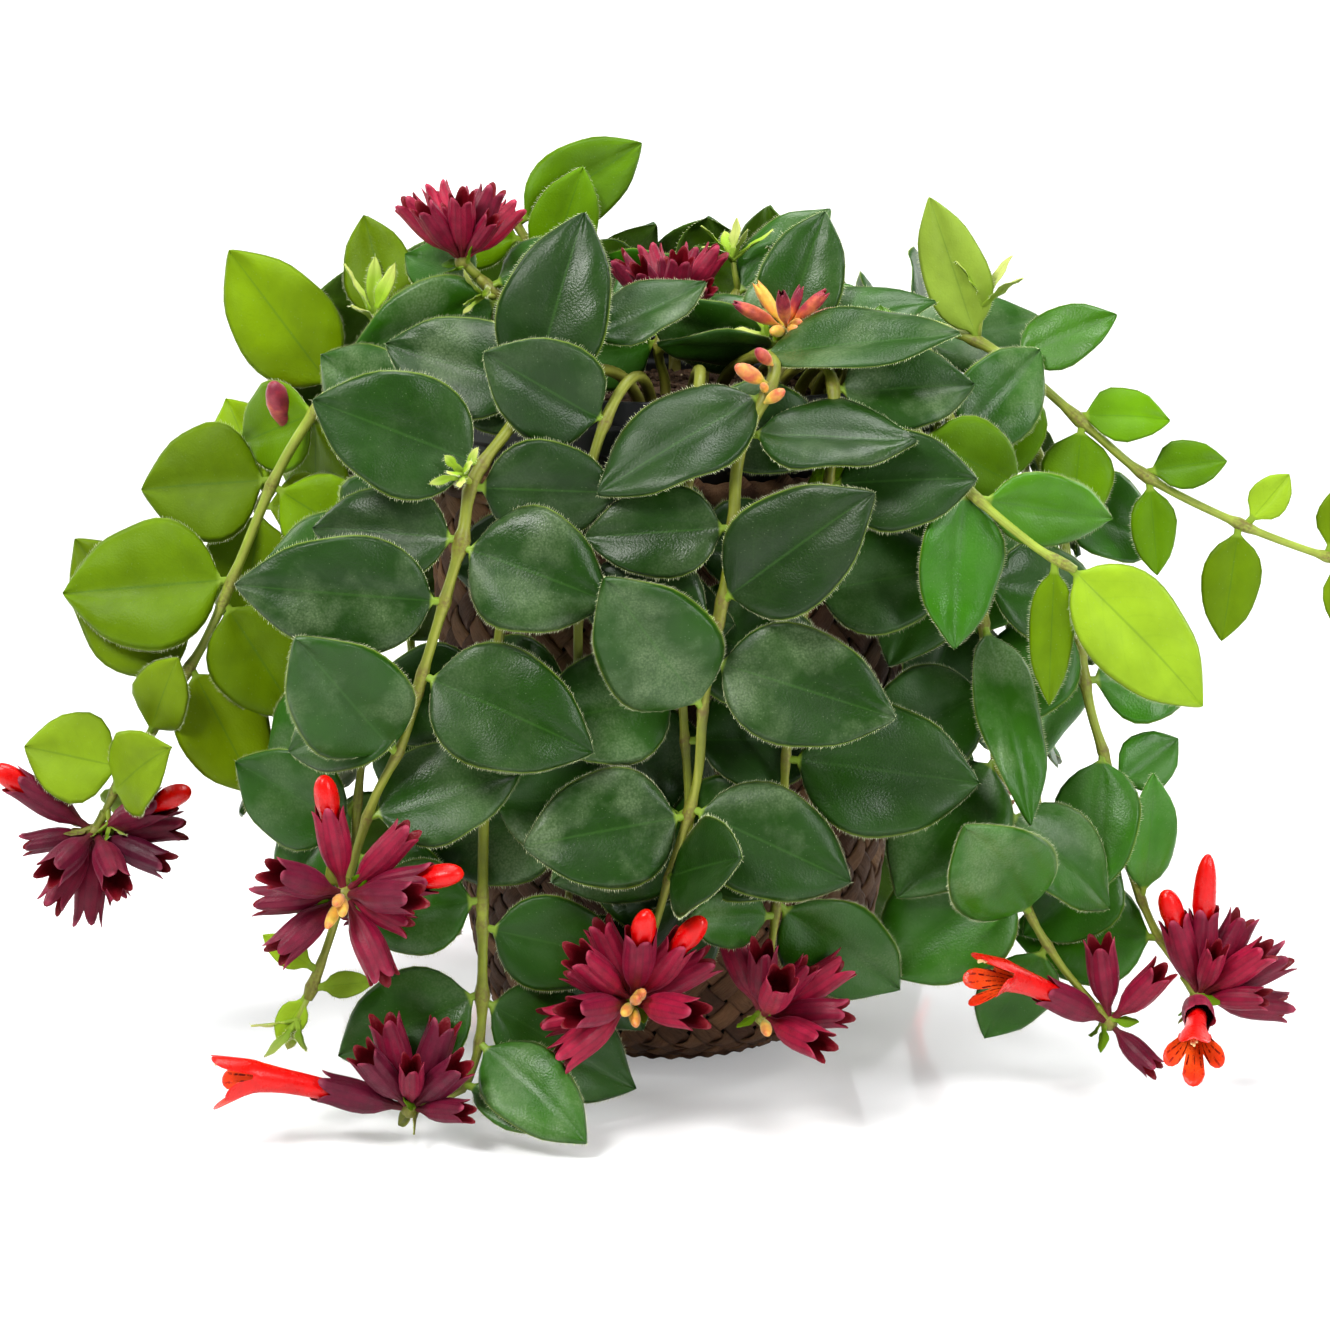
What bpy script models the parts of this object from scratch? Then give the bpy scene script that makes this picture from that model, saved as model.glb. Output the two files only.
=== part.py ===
# A lipstick plant in a black grow pot, wedged in the mouth of a woven basket that stands on its flat base.
# Lengths in this file are millimetres and angles are degrees; meshes are scaled to metres when they are made.
# A place is (x, forward, z): x to the right and forward towards the front, both from the basket's axis,
# and z up from the surface that the basket stands on.

import math
import random

import bmesh
import bpy
from mathutils import Matrix, Vector
from mathutils.bvhtree import BVHTree

mm = 0.001
gap = 0.3                      # clearance between neighbouring solids

# Basket: a bowl with a flat base and a woven wall; the profile is (radius, height) up the outer side.
basketWall = 4.4
basketProfile = ((27, 0), (40, 6), (54, 14), (59, 30), (63, 55), (66, 82), (68, 110), (69.8, 138),
                 (71, 163), (71.5, 183))
basketSides = 30               # a multiple of the pot's sides
weaveRelief = 0.9

# Grow pot: tapered, with a stepped rim, held by its taper in the basket's mouth.
potTop = 207
potHeight = 142
potRimRadius = 69.5
potRimHeight = 7
potStep = 1.5                  # height of each sloping step under the rim
potBandRadius = 68.6           # the band between the rim and the shoulder
potShoulderRadius = 67.6       # the taper starts here
potShoulder = 189.5
potBottomRadius = 52
potWall = 1.6
potSides = 15
drainHoleRadius = 4
drainHoleRing = 34
drainHoles = 4

# Soil
soilTop = 197
soilHump = 4
soilTrench = 4                 # the soil's edge lies this much lower
stemFoot = 180                 # how deep the stems reach into the soil
stemSleeve = 1.6               # the soil's hole is this much wider than the stem

# Stem
footPoints = 2                 # route points of a stem in and just above the soil, before its own
stemTaper = 0.4                # how much of its thickness a stem loses from its foot to its end
stemGuard = 1.25               # other pieces stay clear of a stem this much thicker

# Leaf
leafThickness = 1.5
petiole = 4
petioleRadius = 1.3
rootDepth = 0.4                # the root starts this far behind the middle of the stem
endRoom = 2.5                  # no leaf grows closer than this to a stem's end
leafArch = 0.12                # how far the tip hangs below the line of the root, as a share of the length
leafFold = 0.16                # how far the margins rise above the midrib, as a share of the half width
bladeShares = (0.1, 0.38, 0.74)
bladeSharesPlain = (0.14, 0.62)
bladeSharesSmall = (0.35,)
smallLeaf = 31                 # a leaf shorter than this takes the small shares
guardThickness = 1.5
guardMargin = 0.8

# Calyx and corolla
stalkRadius = 1.5
calyxLength = 29
calyxRadius = 4.5
calyxSides = 5
calyxGuard = 1.12              # a calyx this much larger has to be clear of what other pieces grow
calyxFull = 0.72               # where the calyx is widest, as a share of its length
calyxFlare = 1.16              # radius of its lobes' tips, as a share of its own
calyxThroat = 0.5              # how deep its mouth goes, as a share of its length
calyxSizes = (1, 0.94, 1.02, 0.76)     # shares of the head's size that its calyces take in turn
corollaReach = dict(open=29, tall=16, tip=8)    # past the calyx, of an open flower and of closed ones
corollaFoot = (0.75, 0.48)     # where it stands in its calyx, as a share of its length, and its radius there
tubeRadius = 0.74              # of a corolla at its calyx's mouth
tipShoulder = (0.6, 0.8)       # where a closed tip is widest, as a share of its reach, and its radius there
openFlare = (0.65, 1.35)       # where an open flower's lobes part, as a share of its reach, and how wide
lobeRadius = 2.4               # radius of its lobes' tips; these radii are shares of the calyx's radius
openThroat = 0.5               # how far out its throat ends, as a share of its reach


def place(x, forward, z):
    return Vector((x, -forward, z))


def faceAzimuth(point):
    """Azimuth of the point round the basket's axis: 0 in front, 90 to the right."""
    return math.degrees(math.atan2(point.x, -point.y))


def outward(azimuth):
    a = math.radians(azimuth)
    return Vector((math.sin(a), -math.cos(a), 0))


def heading(azimuth, turn, lean):
    """Direction seen from outside at the azimuth: turn runs clockwise from straight up, lean comes outwards."""
    a, t, l = math.radians(azimuth), math.radians(turn), math.radians(lean)
    across = Vector((math.cos(a), math.sin(a), 0))
    flat = across * math.sin(t) + Vector((0, 0, 1)) * math.cos(t)
    return flat * math.cos(l) + outward(azimuth) * math.sin(l)


# Leaves

def bladeWidth(share):
    """Half width at a share of the blade, as a share of the widest: round at the base, drawn out at the tip."""
    return math.sin(math.pi * share ** 0.72) ** 0.78 if 0 < share < 1 else 0


class Leaf:
    """The middle surface of one leaf: where a point at a distance from the root and across the blade lies."""

    def __init__(self, root, azimuth, turn, lean, roll, length, width, shares):
        self.root, self.length, self.width = root, length, width
        self.shares = shares if length >= smallLeaf else bladeSharesSmall
        self.along = heading(azimuth, turn, lean)
        skyward = outward(azimuth) * math.cos(math.radians(20)) + Vector((0, 0, math.sin(math.radians(20))))
        side = self.along.cross(skyward)
        if side.length < 0.05:
            side = self.along.cross(Vector((0, 0, 1)))
        side.normalize()
        self.side = Matrix.Rotation(math.radians(roll), 3, self.along) @ side
        self.normal = self.side.cross(self.along)

    def halfWidth(self, share):
        return max(self.width / 2 * bladeWidth(share), 0)

    def point(self, share, across, rise=0):
        """share runs over the blade from 0 to 1, across is in millimetres from the midrib."""
        distance = petiole + (self.length - petiole) * share
        bend = leafArch * self.length * (distance / self.length) ** 2
        fold = leafFold * abs(across)
        return self.root + self.along * distance + self.side * across + self.normal * (fold - bend + rise)


def loft(rings):
    """Faces between rings of equal point counts, the first and last of which may be a single point."""
    points, faces, starts = [], [], []
    for ring in rings:
        starts.append(len(points))
        points += ring
    count = len(rings[1])
    if len(rings[0]) > 1:
        faces += [(0, k, k + 1) for k in range(1, count - 1)]
    for first, second, before, ring in zip(starts, starts[1:], rings, rings[1:]):
        for k in range(count):
            n = (k + 1) % count
            if len(before) == 1:
                faces.append((first, second + n, second + k))
                continue
            if len(ring) == 1:
                faces.append((first + k, first + n, second))
                continue
            a, b, c, d = first + k, first + n, second + n, second + k
            # the two faces of a blade take the same diagonal, from its margin to its midrib
            faces += [(a, b, c), (a, c, d)] if k % 2 == 0 else [(a, b, d), (b, c, d)]
    return points, faces


def leafMesh(leaf):
    """A closed fleshy blade: margins at the sides, thick along the midrib, its root sunk into the stem."""
    half = leafThickness / 2
    middle = leaf.root + leaf.along * petiole
    rings = [[leaf.root - leaf.along * rootDepth],
             [middle - leaf.side * petioleRadius, middle + leaf.normal * petioleRadius,
              middle + leaf.side * petioleRadius, middle - leaf.normal * petioleRadius]]
    for share in leaf.shares:
        width = leaf.halfWidth(share)
        rings.append([leaf.point(share, -width), leaf.point(share, 0, half),
                      leaf.point(share, width), leaf.point(share, 0, -half)])
    rings.append([leaf.point(1, 0)])
    return loft(rings)


def guardMesh(leaf):
    """A box round the blade, a little larger than it, which has to stay clear of everything else."""
    rings = []
    for share in (0.08, 0.3, 0.55, 0.8, 1.0):
        width = leaf.halfWidth(share) + guardMargin
        rings.append([leaf.point(share, -width, guardThickness), leaf.point(share, 0, guardThickness),
                      leaf.point(share, width, guardThickness), leaf.point(share, width, -guardThickness),
                      leaf.point(share, 0, -guardThickness), leaf.point(share, -width, -guardThickness)])
    rings.append([leaf.point(1.03, 0)])
    return loft(rings)


def stalkGuard(leaf):
    """A box round the leaf's stalk and the foot of its blade, which may touch only its own stem."""
    rings = []
    for distance in (0, petiole + 0.12 * leaf.length):
        middle = leaf.root + leaf.along * distance
        width = petioleRadius + 0.4 * distance
        rings.append([middle - leaf.side * width, middle + leaf.normal * guardThickness,
                      middle + leaf.side * width, middle - leaf.normal * guardThickness])
    rings.append([middle + leaf.along])
    return loft(rings)


def attitudeChanges():
    """Changes of turn, lean, roll and size that bend a leaf clear, the smallest first."""
    changes = []
    for size in (1, 0.92, 0.84, 0.76):
        for turn in (0, 8, -8, 16, -16, 26, -26):
            for lean in (0, 7, -7, 14, -14, 22, -22, 32, 44):
                for roll in (0, 12, -12, 25, -25, 40, -40):
                    cost = (turn / 10) ** 2 + (lean / 10) ** 2 + (roll / 16) ** 2 + ((1 - size) * 14) ** 2
                    changes.append((cost, turn, lean, roll, size))
    return [change[1:] for change in sorted(changes)]


class Clearance:
    """What has been placed so far, to keep each new leaf clear of it."""

    def __init__(self):
        self.placed = []

    def add(self, owner, points, faces):
        middle = sum(points, Vector()) / len(points)
        radius = max((p - middle).length for p in points)
        self.placed.append((owner, BVHTree.FromPolygons(points, faces), middle, radius))

    def free(self, points, faces, apartFrom=None):
        """Whether the faces cross nothing placed, apart from what the named owner placed."""
        if min(p.z for p in points) < gap:
            return False
        middle = sum(points, Vector()) / len(points)
        radius = max((p - middle).length for p in points)
        tree = None
        for owner, other, centre, reach in self.placed:
            if owner != apartFrom and (centre - middle).length < radius + reach:
                tree = tree or BVHTree.FromPolygons(points, faces)
                if tree.overlap(other):
                    return False
        return True


clearance = Clearance()
changes = attitudeChanges()


def placedLeaf(stem, root, azimuth, turn, lean, roll, length, width, shares):
    """The leaf in the attitude nearest to the given one that is clear of all that stands already, or None."""
    for dTurn, dLean, dRoll, size in changes:
        leaf = Leaf(root, azimuth, turn + dTurn, lean + dLean, roll + dRoll,
                    length * size, width * size, shares)
        if clearance.free(*guardMesh(leaf)) and clearance.free(*stalkGuard(leaf), stem):
            clearance.add(stem, *leafMesh(leaf))
            return leaf
    return None


# Stems

def routePoint(points, u):
    """A point of the route, u counted in points."""
    i = min(int(u), len(points) - 2)
    return points[i].lerp(points[i + 1], u - i)


def tubeMesh(points, radii, sides=4):
    """The tube of a stem, used for clearance."""
    rings = []
    for i, p in enumerate(points):
        ahead = (points[min(i + 1, len(points) - 1)] - points[max(i - 1, 0)]).normalized()
        across = ahead.orthogonal().normalized()
        other = ahead.cross(across)
        turns = [math.tau * k / sides for k in range(sides)]
        rings.append([p + (across * math.cos(a) + other * math.sin(a)) * radii[i] for a in turns])
    return loft(rings)


def stemRadii(count, radius):
    """The stem thins evenly to its end."""
    return [radius * (1 - stemTaper * i / (count - 1)) for i in range(count)]


# Each named stem: its foot in the soil, the route from there, its thickness, the azimuth that its leaves face,
# and its leaves as (where on the route, turn, length, width, lean, roll). Route points are counted from 0.
namedStems = {
    "front_centre": dict(
        foot=(14, 34), radius=2.0, face=0,
        route=((24, 60, 219), (29, 77, 217), (19, 89, 196), (17, 95, 173), (14, 98, 155), (9, 100, 127),
               (7, 98, 103), (0, 98, 78), (-9, 100, 47)),
        leaves=((0.1, 68, 60, 30, 6, -20), (1.3, 238, 55, 31, 6, 0), (1.8, 86, 48, 30, 14, -38),
                (2.9, 268, 42, 27, 4, 0),
                (4, 49, 54, 34, 14, 0), (4.2, 284, 42, 31, -4, 0), (5.1, 326, 51, 35, 16, 0),
                (4.6, 104, 54, 35, 14, 0), (6.3, 112, 50, 33, 12, 0), (6.4, 264, 47, 35, 16, 0),
                (7.1, 30, 41, 30, 24, 0))),
    "front_left": dict(
        foot=(-26, 38), radius=2.0, face=-3,
        route=((-25, 62, 224), (-36, 77, 214), (-46, 86, 202), (-56, 91, 188), (-59, 95, 172), (-64, 98, 155),
               (-71, 100, 132), (-76, 101, 115), (-84, 100, 99), (-91, 97, 78), (-98, 98, 56), (-104, 101, 40)),
        leaves=((0.1, 62, 40, 22, -10, -30), (1.4, 15, 55, 32, -6, 0), (1.2, 287, 46, 30, -6, 0),
                (2.7, 294, 51, 36, 12, 0),
                (3.1, 84, 42, 29, -8, 0), (4, 275, 44, 28, -4, 0), (4.1, 106, 44, 37, 8, 0),
                (5, 277, 58, 34, 16, 0), (5.9, 110, 52, 36, 14, 0), (6.2, 248, 44, 31, -8, 0),
                (7.2, 327, 51, 34, 18, 0), (8.3, 54, 44, 31, 12, 0), (10.5, 310, 19, 9, 20, 0),
                (10.8, 80, 18, 8, 10, 0), (11, 215, 17, 9, 20, 0))),
    "left_low": dict(
        foot=(-10, 46), radius=1.9, face=0,
        route=((-25, 68, 215), (-40, 84, 192), (-48, 86, 150), (-53, 88, 105), (-54, 92, 72), (-54, 100, 48),
               (-55, 104, 28), (-60, 106, 15), (-67, 109, 13)),
        leaves=((0.4, 296, 44, 28, 4, 0), (2.4, 250, 42, 30, -6, 0), (3.3, 96, 44, 32, -4, 0),
                (4.5, 104, 42, 28, 0, 0),
                (4.2, 262, 40, 28, -6, 0), (5.3, 246, 46, 31, 0, 0), (5.4, 115, 56, 32, 10, 0),
                (6.0, 114, 48, 26, 16, -20), (6.9, 108, 44, 19, 24, -40))),
    "left": dict(
        foot=(-44, 12), radius=2.0, face=-15,
        route=((-66, 18, 224), (-90, 24, 214), (-112, 28, 187), (-129, 30, 150), (-138, 30, 130),
               (-146, 31, 117), (-154, 32, 103), (-163, 32, 90), (-169, 31, 78)),
        leaves=((1.6, 240, 40, 28, -10, 0), (2.3, 120, 38, 26, 0, 0), (3.1, 266, 51, 40, 14, 0),
                (3.4, 148, 42, 31, -4, 0), (4.9, 318, 54, 32, 2, 0), (4.6, 150, 43, 29, 8, 0),
                (6.1, 25, 30, 20, -8, 0), (6.9, 285, 31, 28, 12, 0), (7.5, 48, 35, 26, 16, 0),
                (7.2, 200, 24, 16, -10, 0))),
    "left_high": dict(
        foot=(-34, 0), radius=1.9, face=-10,
        route=((-58, -2, 221), (-79, 2, 222), (-97, 6, 205), (-114, 8, 184), (-124, 8, 164)),
        leaves=((1.2, 342, 36, 22, -10, 0), (2.2, 324, 52, 31, 6, 0), (2.5, 215, 38, 30, 6, 0),
                (3.5, 268, 40, 37, 12, 0), (3.7, 326, 37, 22, -8, 0), (3.9, 70, 30, 20, 0, 0),
                (4, 190, 42, 30, 0, 0))),
    "right_front": dict(
        foot=(38, 26), radius=1.9, face=8,
        route=((54, 56, 218), (66, 76, 203), (82, 86, 186), (102, 95, 170), (113, 98, 164)),
        leaves=((0.8, 330, 34, 22, 0, 0), (1.2, 118, 36, 25, 6, 0), (1.5, 250, 40, 27, -8, 0),
                (2.0, 184, 46, 26, 14, 0), (2.2, 118, 42, 22, 10, 0), (3.5, 184, 42, 13, 6, 20),
                (4, 134, 56, 30, 12, 0))),
    "right_high": dict(
        foot=(48, 10), radius=1.9, face=5,
        route=((66, 16, 222), (86, 26, 220), (102, 32, 211), (122, 33, 194), (140, 32, 179), (167, 30, 165),
               (187, 29, 157), (203, 28, 152)),
        leaves=((1.2, 342, 45, 20, 4, 0), (1.8, 62, 34, 20, 8, -20), (2.0, 196, 36, 24, 10, 0),
                (2.8, 96, 28, 19, 6, -20), (2.9, 188, 33, 22, 12, 0), (3.9, 78, 25, 16, 0, 0),
                (4.0, 174, 29, 14, 8, 0), (5.0, 188, 35, 18, 10, 0), (5.1, 40, 20, 12, 0, 0),
                (6.4, 20, 24, 15, 0, 0), (6.5, 160, 26, 15, 8, 0), (7, 100, 22, 14, 6, 0))),
    "right": dict(
        foot=(51, -2), radius=2.0, face=15,
        route=((66, 0, 224), (92, 14, 210), (110, 26, 180), (118, 34, 146), (123, 40, 113), (129, 42, 93),
               (134, 44, 69), (143, 46, 46), (152, 47, 32)),
        leaves=((2.2, 120, 40, 29, 4, 0), (2.4, 220, 46, 27, 8, 0), (3.3, 230, 42, 28, 6, 0),
                (3.5, 196, 48, 20, 8, 0), (3.8, 88, 36, 29, 4, 0), (4.7, 186, 44, 26, 10, 0),
                (6.6, 4, 38, 18, 10, 0), (6.1, 236, 38, 26, 0, 0), (5.2, 60, 26, 18, -6, 0),
                (7.2, 290, 44, 32, -6, 0))),
    "front_right_low": dict(
        foot=(30, 40), radius=1.7, face=5,
        route=((44, 72, 217), (45, 85, 194), (38, 86, 155), (33, 87, 115), (31, 89, 76), (27, 93, 41)),
        leaves=((0.3, 58, 42, 28, 8, 0), (1.2, 100, 42, 30, -4, 0), (2.0, 80, 44, 32, 0, 0),
                (2.2, 262, 40, 28, -6, 0),
                (3.2, 97, 56, 40, 4, 0), (3.5, 250, 42, 30, -6, 0), (4.3, 130, 50, 30, 6, 0),
                (4.4, 250, 38, 25, -4, 0), (4.9, 236, 33, 21, 10, 0), (5, 100, 32, 18, 4, 0))),
    "right_inner": dict(
        foot=(44, 18), radius=1.9, face=25,
        route=((64, 44, 219), (80, 54, 200), (88, 58, 160), (92, 62, 122), (96, 68, 90), (102, 72, 62),
               (113, 70, 42), (124, 66, 28)),
        leaves=((1.2, 40, 40, 26, 0, 0), (1.6, 196, 52, 32, 6, 0), (2.2, 100, 44, 30, 4, 0),
                (2.5, 178, 60, 21, 12, 0), (3.0, 250, 46, 32, 0, 0), (3.6, 206, 50, 35, 2, 0),
                (4.1, 130, 44, 30, 4, 0), (4.7, 234, 50, 38, 2, 0),
                (5.2, 330, 50, 33, 4, 0), (5.7, 196, 36, 24, -12, 0))),
    "left_inner": dict(
        foot=(-36, 28), radius=1.9, face=-30,
        route=((-52, 52, 220), (-68, 62, 204), (-80, 66, 170), (-86, 68, 135), (-90, 70, 100), (-93, 72, 70)),
        leaves=((1.2, 300, 42, 28, 4, 0), (1.6, 225, 42, 30, 0, 0), (2.3, 265, 46, 32, 2, 0),
                (3.4, 240, 44, 31, 4, 0), (3.6, 110, 42, 30, 0, 0),
                (4.3, 215, 42, 30, 4, 0), (4.6, 285, 40, 30, 0, 0), (4.8, 120, 40, 30, 0, 0))),
    "front_inner": dict(
        foot=(-6, 54), radius=1.8, face=0,
        route=((-12, 72, 214), (-22, 82, 194), (-26, 83, 160), (-27, 84, 125), (-28, 86, 90), (-30, 88, 60)),
        leaves=((0.6, 288, 44, 30, 10, 0), (1.5, 100, 42, 30, -8, 0), (1.8, 262, 40, 30, -6, 0),
                (2.3, 92, 44, 34, -6, 0),
                (2.9, 262, 44, 32, -6, 0), (3.3, 110, 48, 36, -4, 0), (3.9, 250, 46, 34, -4, 0),
                (4.4, 98, 48, 35, -4, 0), (5, 150, 46, 32, -2, 0))),
    "centre_inner": dict(
        foot=(6, 44), radius=1.8, face=0,
        route=((8, 72, 215), (5, 82, 194), (3, 83, 160), (3, 84, 125), (5, 86, 92), (6, 89, 66)),
        leaves=((0.5, 74, 44, 30, 10, 0), (1.2, 262, 40, 28, -6, 0), (1.8, 95, 44, 32, -6, 0),
                (2.4, 100, 46, 34, -4, 0),
                (3.0, 255, 44, 34, -6, 0), (3.4, 100, 48, 36, -4, 0), (4.0, 250, 44, 34, -4, 0),
                (4.4, 110, 46, 34, -4, 0), (4.8, 205, 44, 32, 0, 0))),
    "top_left": dict(
        foot=(-28, 8), radius=1.9, face=0,
        route=((-38, 14, 218), (-50, 18, 230), (-57, 20, 237)),
        leaves=((1.0, 250, 46, 30, 0, -20), (1.5, 64, 34, 22, 6, -30), (2, 302, 30, 20, -10, 0))),
    "top_left_back": dict(
        foot=(-22, -14), radius=1.8, face=0,
        route=((-32, -16, 222), (-42, -18, 240), (-48, -19, 250)),
        leaves=((0.6, 12, 34, 21, 0, 0), (1.9, 58, 46, 25, 4, 0), (1.3, 285, 34, 22, -4, -20))),
    "top_centre": dict(
        foot=(-2, 16), radius=1.8, face=0,
        route=((-4, 20, 214), (-2, 22, 220)),
        leaves=((0.6, 262, 36, 24, 14, -20), (0.9, 74, 38, 24, 10, -30), (1.0, 340, 26, 18, -14, 0))),
    "top_buds": dict(
        foot=(26, 14), radius=1.8, face=0,
        route=((30, 34, 214), (32, 46, 222)),
        leaves=((0.1, 275, 42, 24, 20, -30), (0.5, 352, 26, 18, -20, 0), (0.7, 66, 46, 25, 4, -42),
                (0.9, 268, 38, 24, 22, -40), (0.8, 34, 40, 25, -6, 0))),
    "top_back": dict(
        foot=(10, -12), radius=1.8, face=0,
        route=((14, -16, 214), (20, -18, 228)),
        leaves=((0.6, 78, 42, 25, -10, -50), (0.9, 45, 40, 21, -10, -20), (0.7, 285, 42, 26, -6, -50))),
}

# The stems round the back and sides follow one rule: azimuth, how low they hang and how far out they stand.
ruledStems = ((96, 64, 112), (112, 118, 100), (128, 58, 108), (145, 92, 98), (162, 22, 106), (179, 104, 98),
              (196, 46, 108), (213, 92, 98), (230, 30, 106), (248, 118, 100), (262, 66, 112),
              (73, 84, 90))
ruledRadius = 1.9
routeStep = 36
nodeSpacing = 54


def ruledRoute(azimuth, low, reach, rng):
    """Up from the soil, over the rim, then down outside the basket."""
    points = []
    for radius, z in ((62, 219), (80, 213), (reach - 8, 190), (reach - 2, 160)):
        points.append(outward(azimuth + rng.uniform(-2, 2)) * radius + Vector((0, 0, z)))
    steps = math.ceil((160 - low) / routeStep)
    for k in range(1, steps + 1):
        z = 160 - (160 - low) * k / steps
        points.append(outward(azimuth + rng.uniform(-3, 3)) * (reach + rng.uniform(-2, 3)) + Vector((0, 0, z)))
    return points


def ruledLeaves(count, rng):
    """One leaf over the soil, then opposite pairs along the hanging part, turned so that they face outwards."""
    leaves = [(0.5, rng.uniform(-40, 40), 44, 28, rng.uniform(-50, -30), 0)]
    at = 1.6
    while at < count - 1:
        swing = rng.uniform(-24, 24)
        for sign in (1, -1):
            turn = sign * rng.uniform(78, 118) + swing
            size = rng.uniform(0.86, 1.1)
            leaves.append((at, turn, 52 * size, 36 * size, rng.uniform(2, 22), rng.uniform(-12, 12)))
        at += nodeSpacing / routeStep
    leaves.append((count - 1.1, 180 + rng.uniform(-25, 25), 40, 26, 8, 0))
    return leaves


# Bloom heads: the stem that carries each, where on its route (None for its end), its stalk, the fan in which
# its calyces stand as (first turn, last turn), how many they are, how far they lean out in turn, their size, and
# the flowers in it as (turn, lean, kind, bend), where kind is open, tall or tip.
heads = {
    "left_front": dict(stem="front_left", at=9.2, stalk=12, fan=(232, 510), calyces=9, leans=(24, 4, 40, 14),
                       size=0.98, flowers=((352, 8, "tip", 0), (76, 14, "tip", 0))),
    "centre_front": dict(stem="front_centre", at=None, stalk=8, fan=(238, 460), calyces=12,
                         leans=(30, 6, 52, 4), size=1.0, flowers=((8, 30, "tip", 0), (36, 20, "tip", 0))),
    "right_of_centre": dict(stem="front_right_low", at=None, stalk=8, fan=(338, 480), calyces=8,
                            leans=(-8, 20, 50, 8), size=0.98, flowers=()),
    "floor_left": dict(stem="left_low", at=None, stalk=8, fan=(308, 440), calyces=8, leans=(-4, 24, 0, 34),
                       size=1.0, flowers=((286, 8, "open", 12),)),
    "far_left": dict(stem="left", at=None, stalk=7, fan=(84, 288), calyces=9, leans=(4, 24, 60, 10), size=0.98,
                     flowers=((62, 20, "tip", 0), (305, 5, "tip", 0))),
    "far_right": dict(stem="right", at=None, stalk=8, fan=(322, 458), calyces=9, leans=(-6, 20, 0, 30),
                      size=1.0, flowers=((2, 4, "tall", 0), (342, 10, "tip", 0), (286, 82, "open", 12))),
    "top_left": dict(stem="top_left", at=None, stalk=6, fan=(316, 406), calyces=9, leans=(0, 26, -24),
                     size=0.85, flowers=()),
    "top_centre": dict(stem="top_centre", at=None, stalk=6, fan=(314, 408), calyces=8, leans=(0, 28, -24),
                       size=0.8, flowers=()),
    "young_buds": dict(stem="top_buds", at=None, stalk=6, fan=(300, 430), calyces=6, leans=(20, 0, 48, 10),
                       size=0.62, flowers=()),
    "right_low": dict(stem="right_inner", at=None, stalk=7, fan=(352, 540), calyces=5, leans=(12, 24, 6, 30),
                      size=0.98, flowers=((304, 30, "open", 16),)),
    "back_right": dict(stem="back_3", at=None, stalk=7, fan=(250, 470), calyces=7, leans=(26, 4, 44, 10),
                       size=0.98, flowers=((120, 20, "open", 12),)),
    "back_left": dict(stem="back_9", at=None, stalk=7, fan=(240, 460), calyces=7, leans=(30, 6, 46, 8),
                      size=0.95, flowers=((285, 20, "open", 10),)),
}
flowerRoom = 26                # no other calyx stands within this angle of a flower
headCore = 4.2


class Trumpet:
    """The bent axis of a calyx or corolla: a ring of points at a distance along it."""

    def __init__(self, root, direction, straight=0, bendTo=Vector((0, 0, 1)), bendAngle=0, bentLength=1):
        self.root, self.direction, self.straight = root, direction, straight
        side = direction.cross(bendTo)
        self.side = side.normalized() if side.length > 0.01 else direction.orthogonal().normalized()
        self.bend = self.side.cross(direction)
        self.curve = math.radians(bendAngle) / bentLength

    def ring(self, distance, radius, count, phase=0):
        a = self.curve * max(distance - self.straight, 0)
        if abs(a) < 1e-6:
            middle, ahead = self.root + self.direction * distance, self.direction
        else:
            middle = (self.root + self.direction * (self.straight + math.sin(a) / self.curve)
                      + self.bend * (1 - math.cos(a)) / self.curve)
            ahead = self.direction * math.cos(a) + self.bend * math.sin(a)
        if radius == 0:
            return [middle]
        across = self.side.cross(ahead)
        turns = [math.tau * (k + phase) / count for k in range(count)]
        return [middle + (across * math.cos(t) + self.side * math.sin(t)) * radius for t in turns]


def trumpetMesh(trumpet, rings, lobes, throat):
    """From a point through rings to a mouth whose lobes stand out, with a throat that goes in; or closed."""
    count = calyxSides
    points = trumpet.ring(rings[0][0], 0, 1)
    faces = []
    start = 1
    points += trumpet.ring(*rings[1], count)
    faces += [(0, 1 + (k + 1) % count, 1 + k) for k in range(count)]
    for distance, radius in rings[2:]:
        points += trumpet.ring(distance, radius, count)
        for k in range(count):
            n = (k + 1) % count
            across, ahead = start + count + n, start + count + k
            faces += [(start + k, start + n, across), (start + k, across, ahead)]
        start += count
    if lobes is None:
        points += trumpet.ring(throat, 0, 1)
        faces += [(start + k, start + (k + 1) % count, len(points) - 1) for k in range(count)]
        return points, faces
    points += trumpet.ring(*lobes, count, 0.5)
    points += trumpet.ring(throat, 0, 1)
    tips, middle = start + count, len(points) - 1
    for k in range(count):
        n = (k + 1) % count
        tip = tips + k
        faces += [(start + k, start + n, tip), (start + k, tip, middle), (tip, start + n, middle)]
    return points, faces


def calyxMesh(root, direction, size):
    length = calyxLength * size
    wide = calyxRadius * size
    rings = ((stalkRadius, 0), (calyxFull * length, wide))
    return trumpetMesh(Trumpet(root, direction), rings, (length, calyxFlare * wide), calyxThroat * length)


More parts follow.
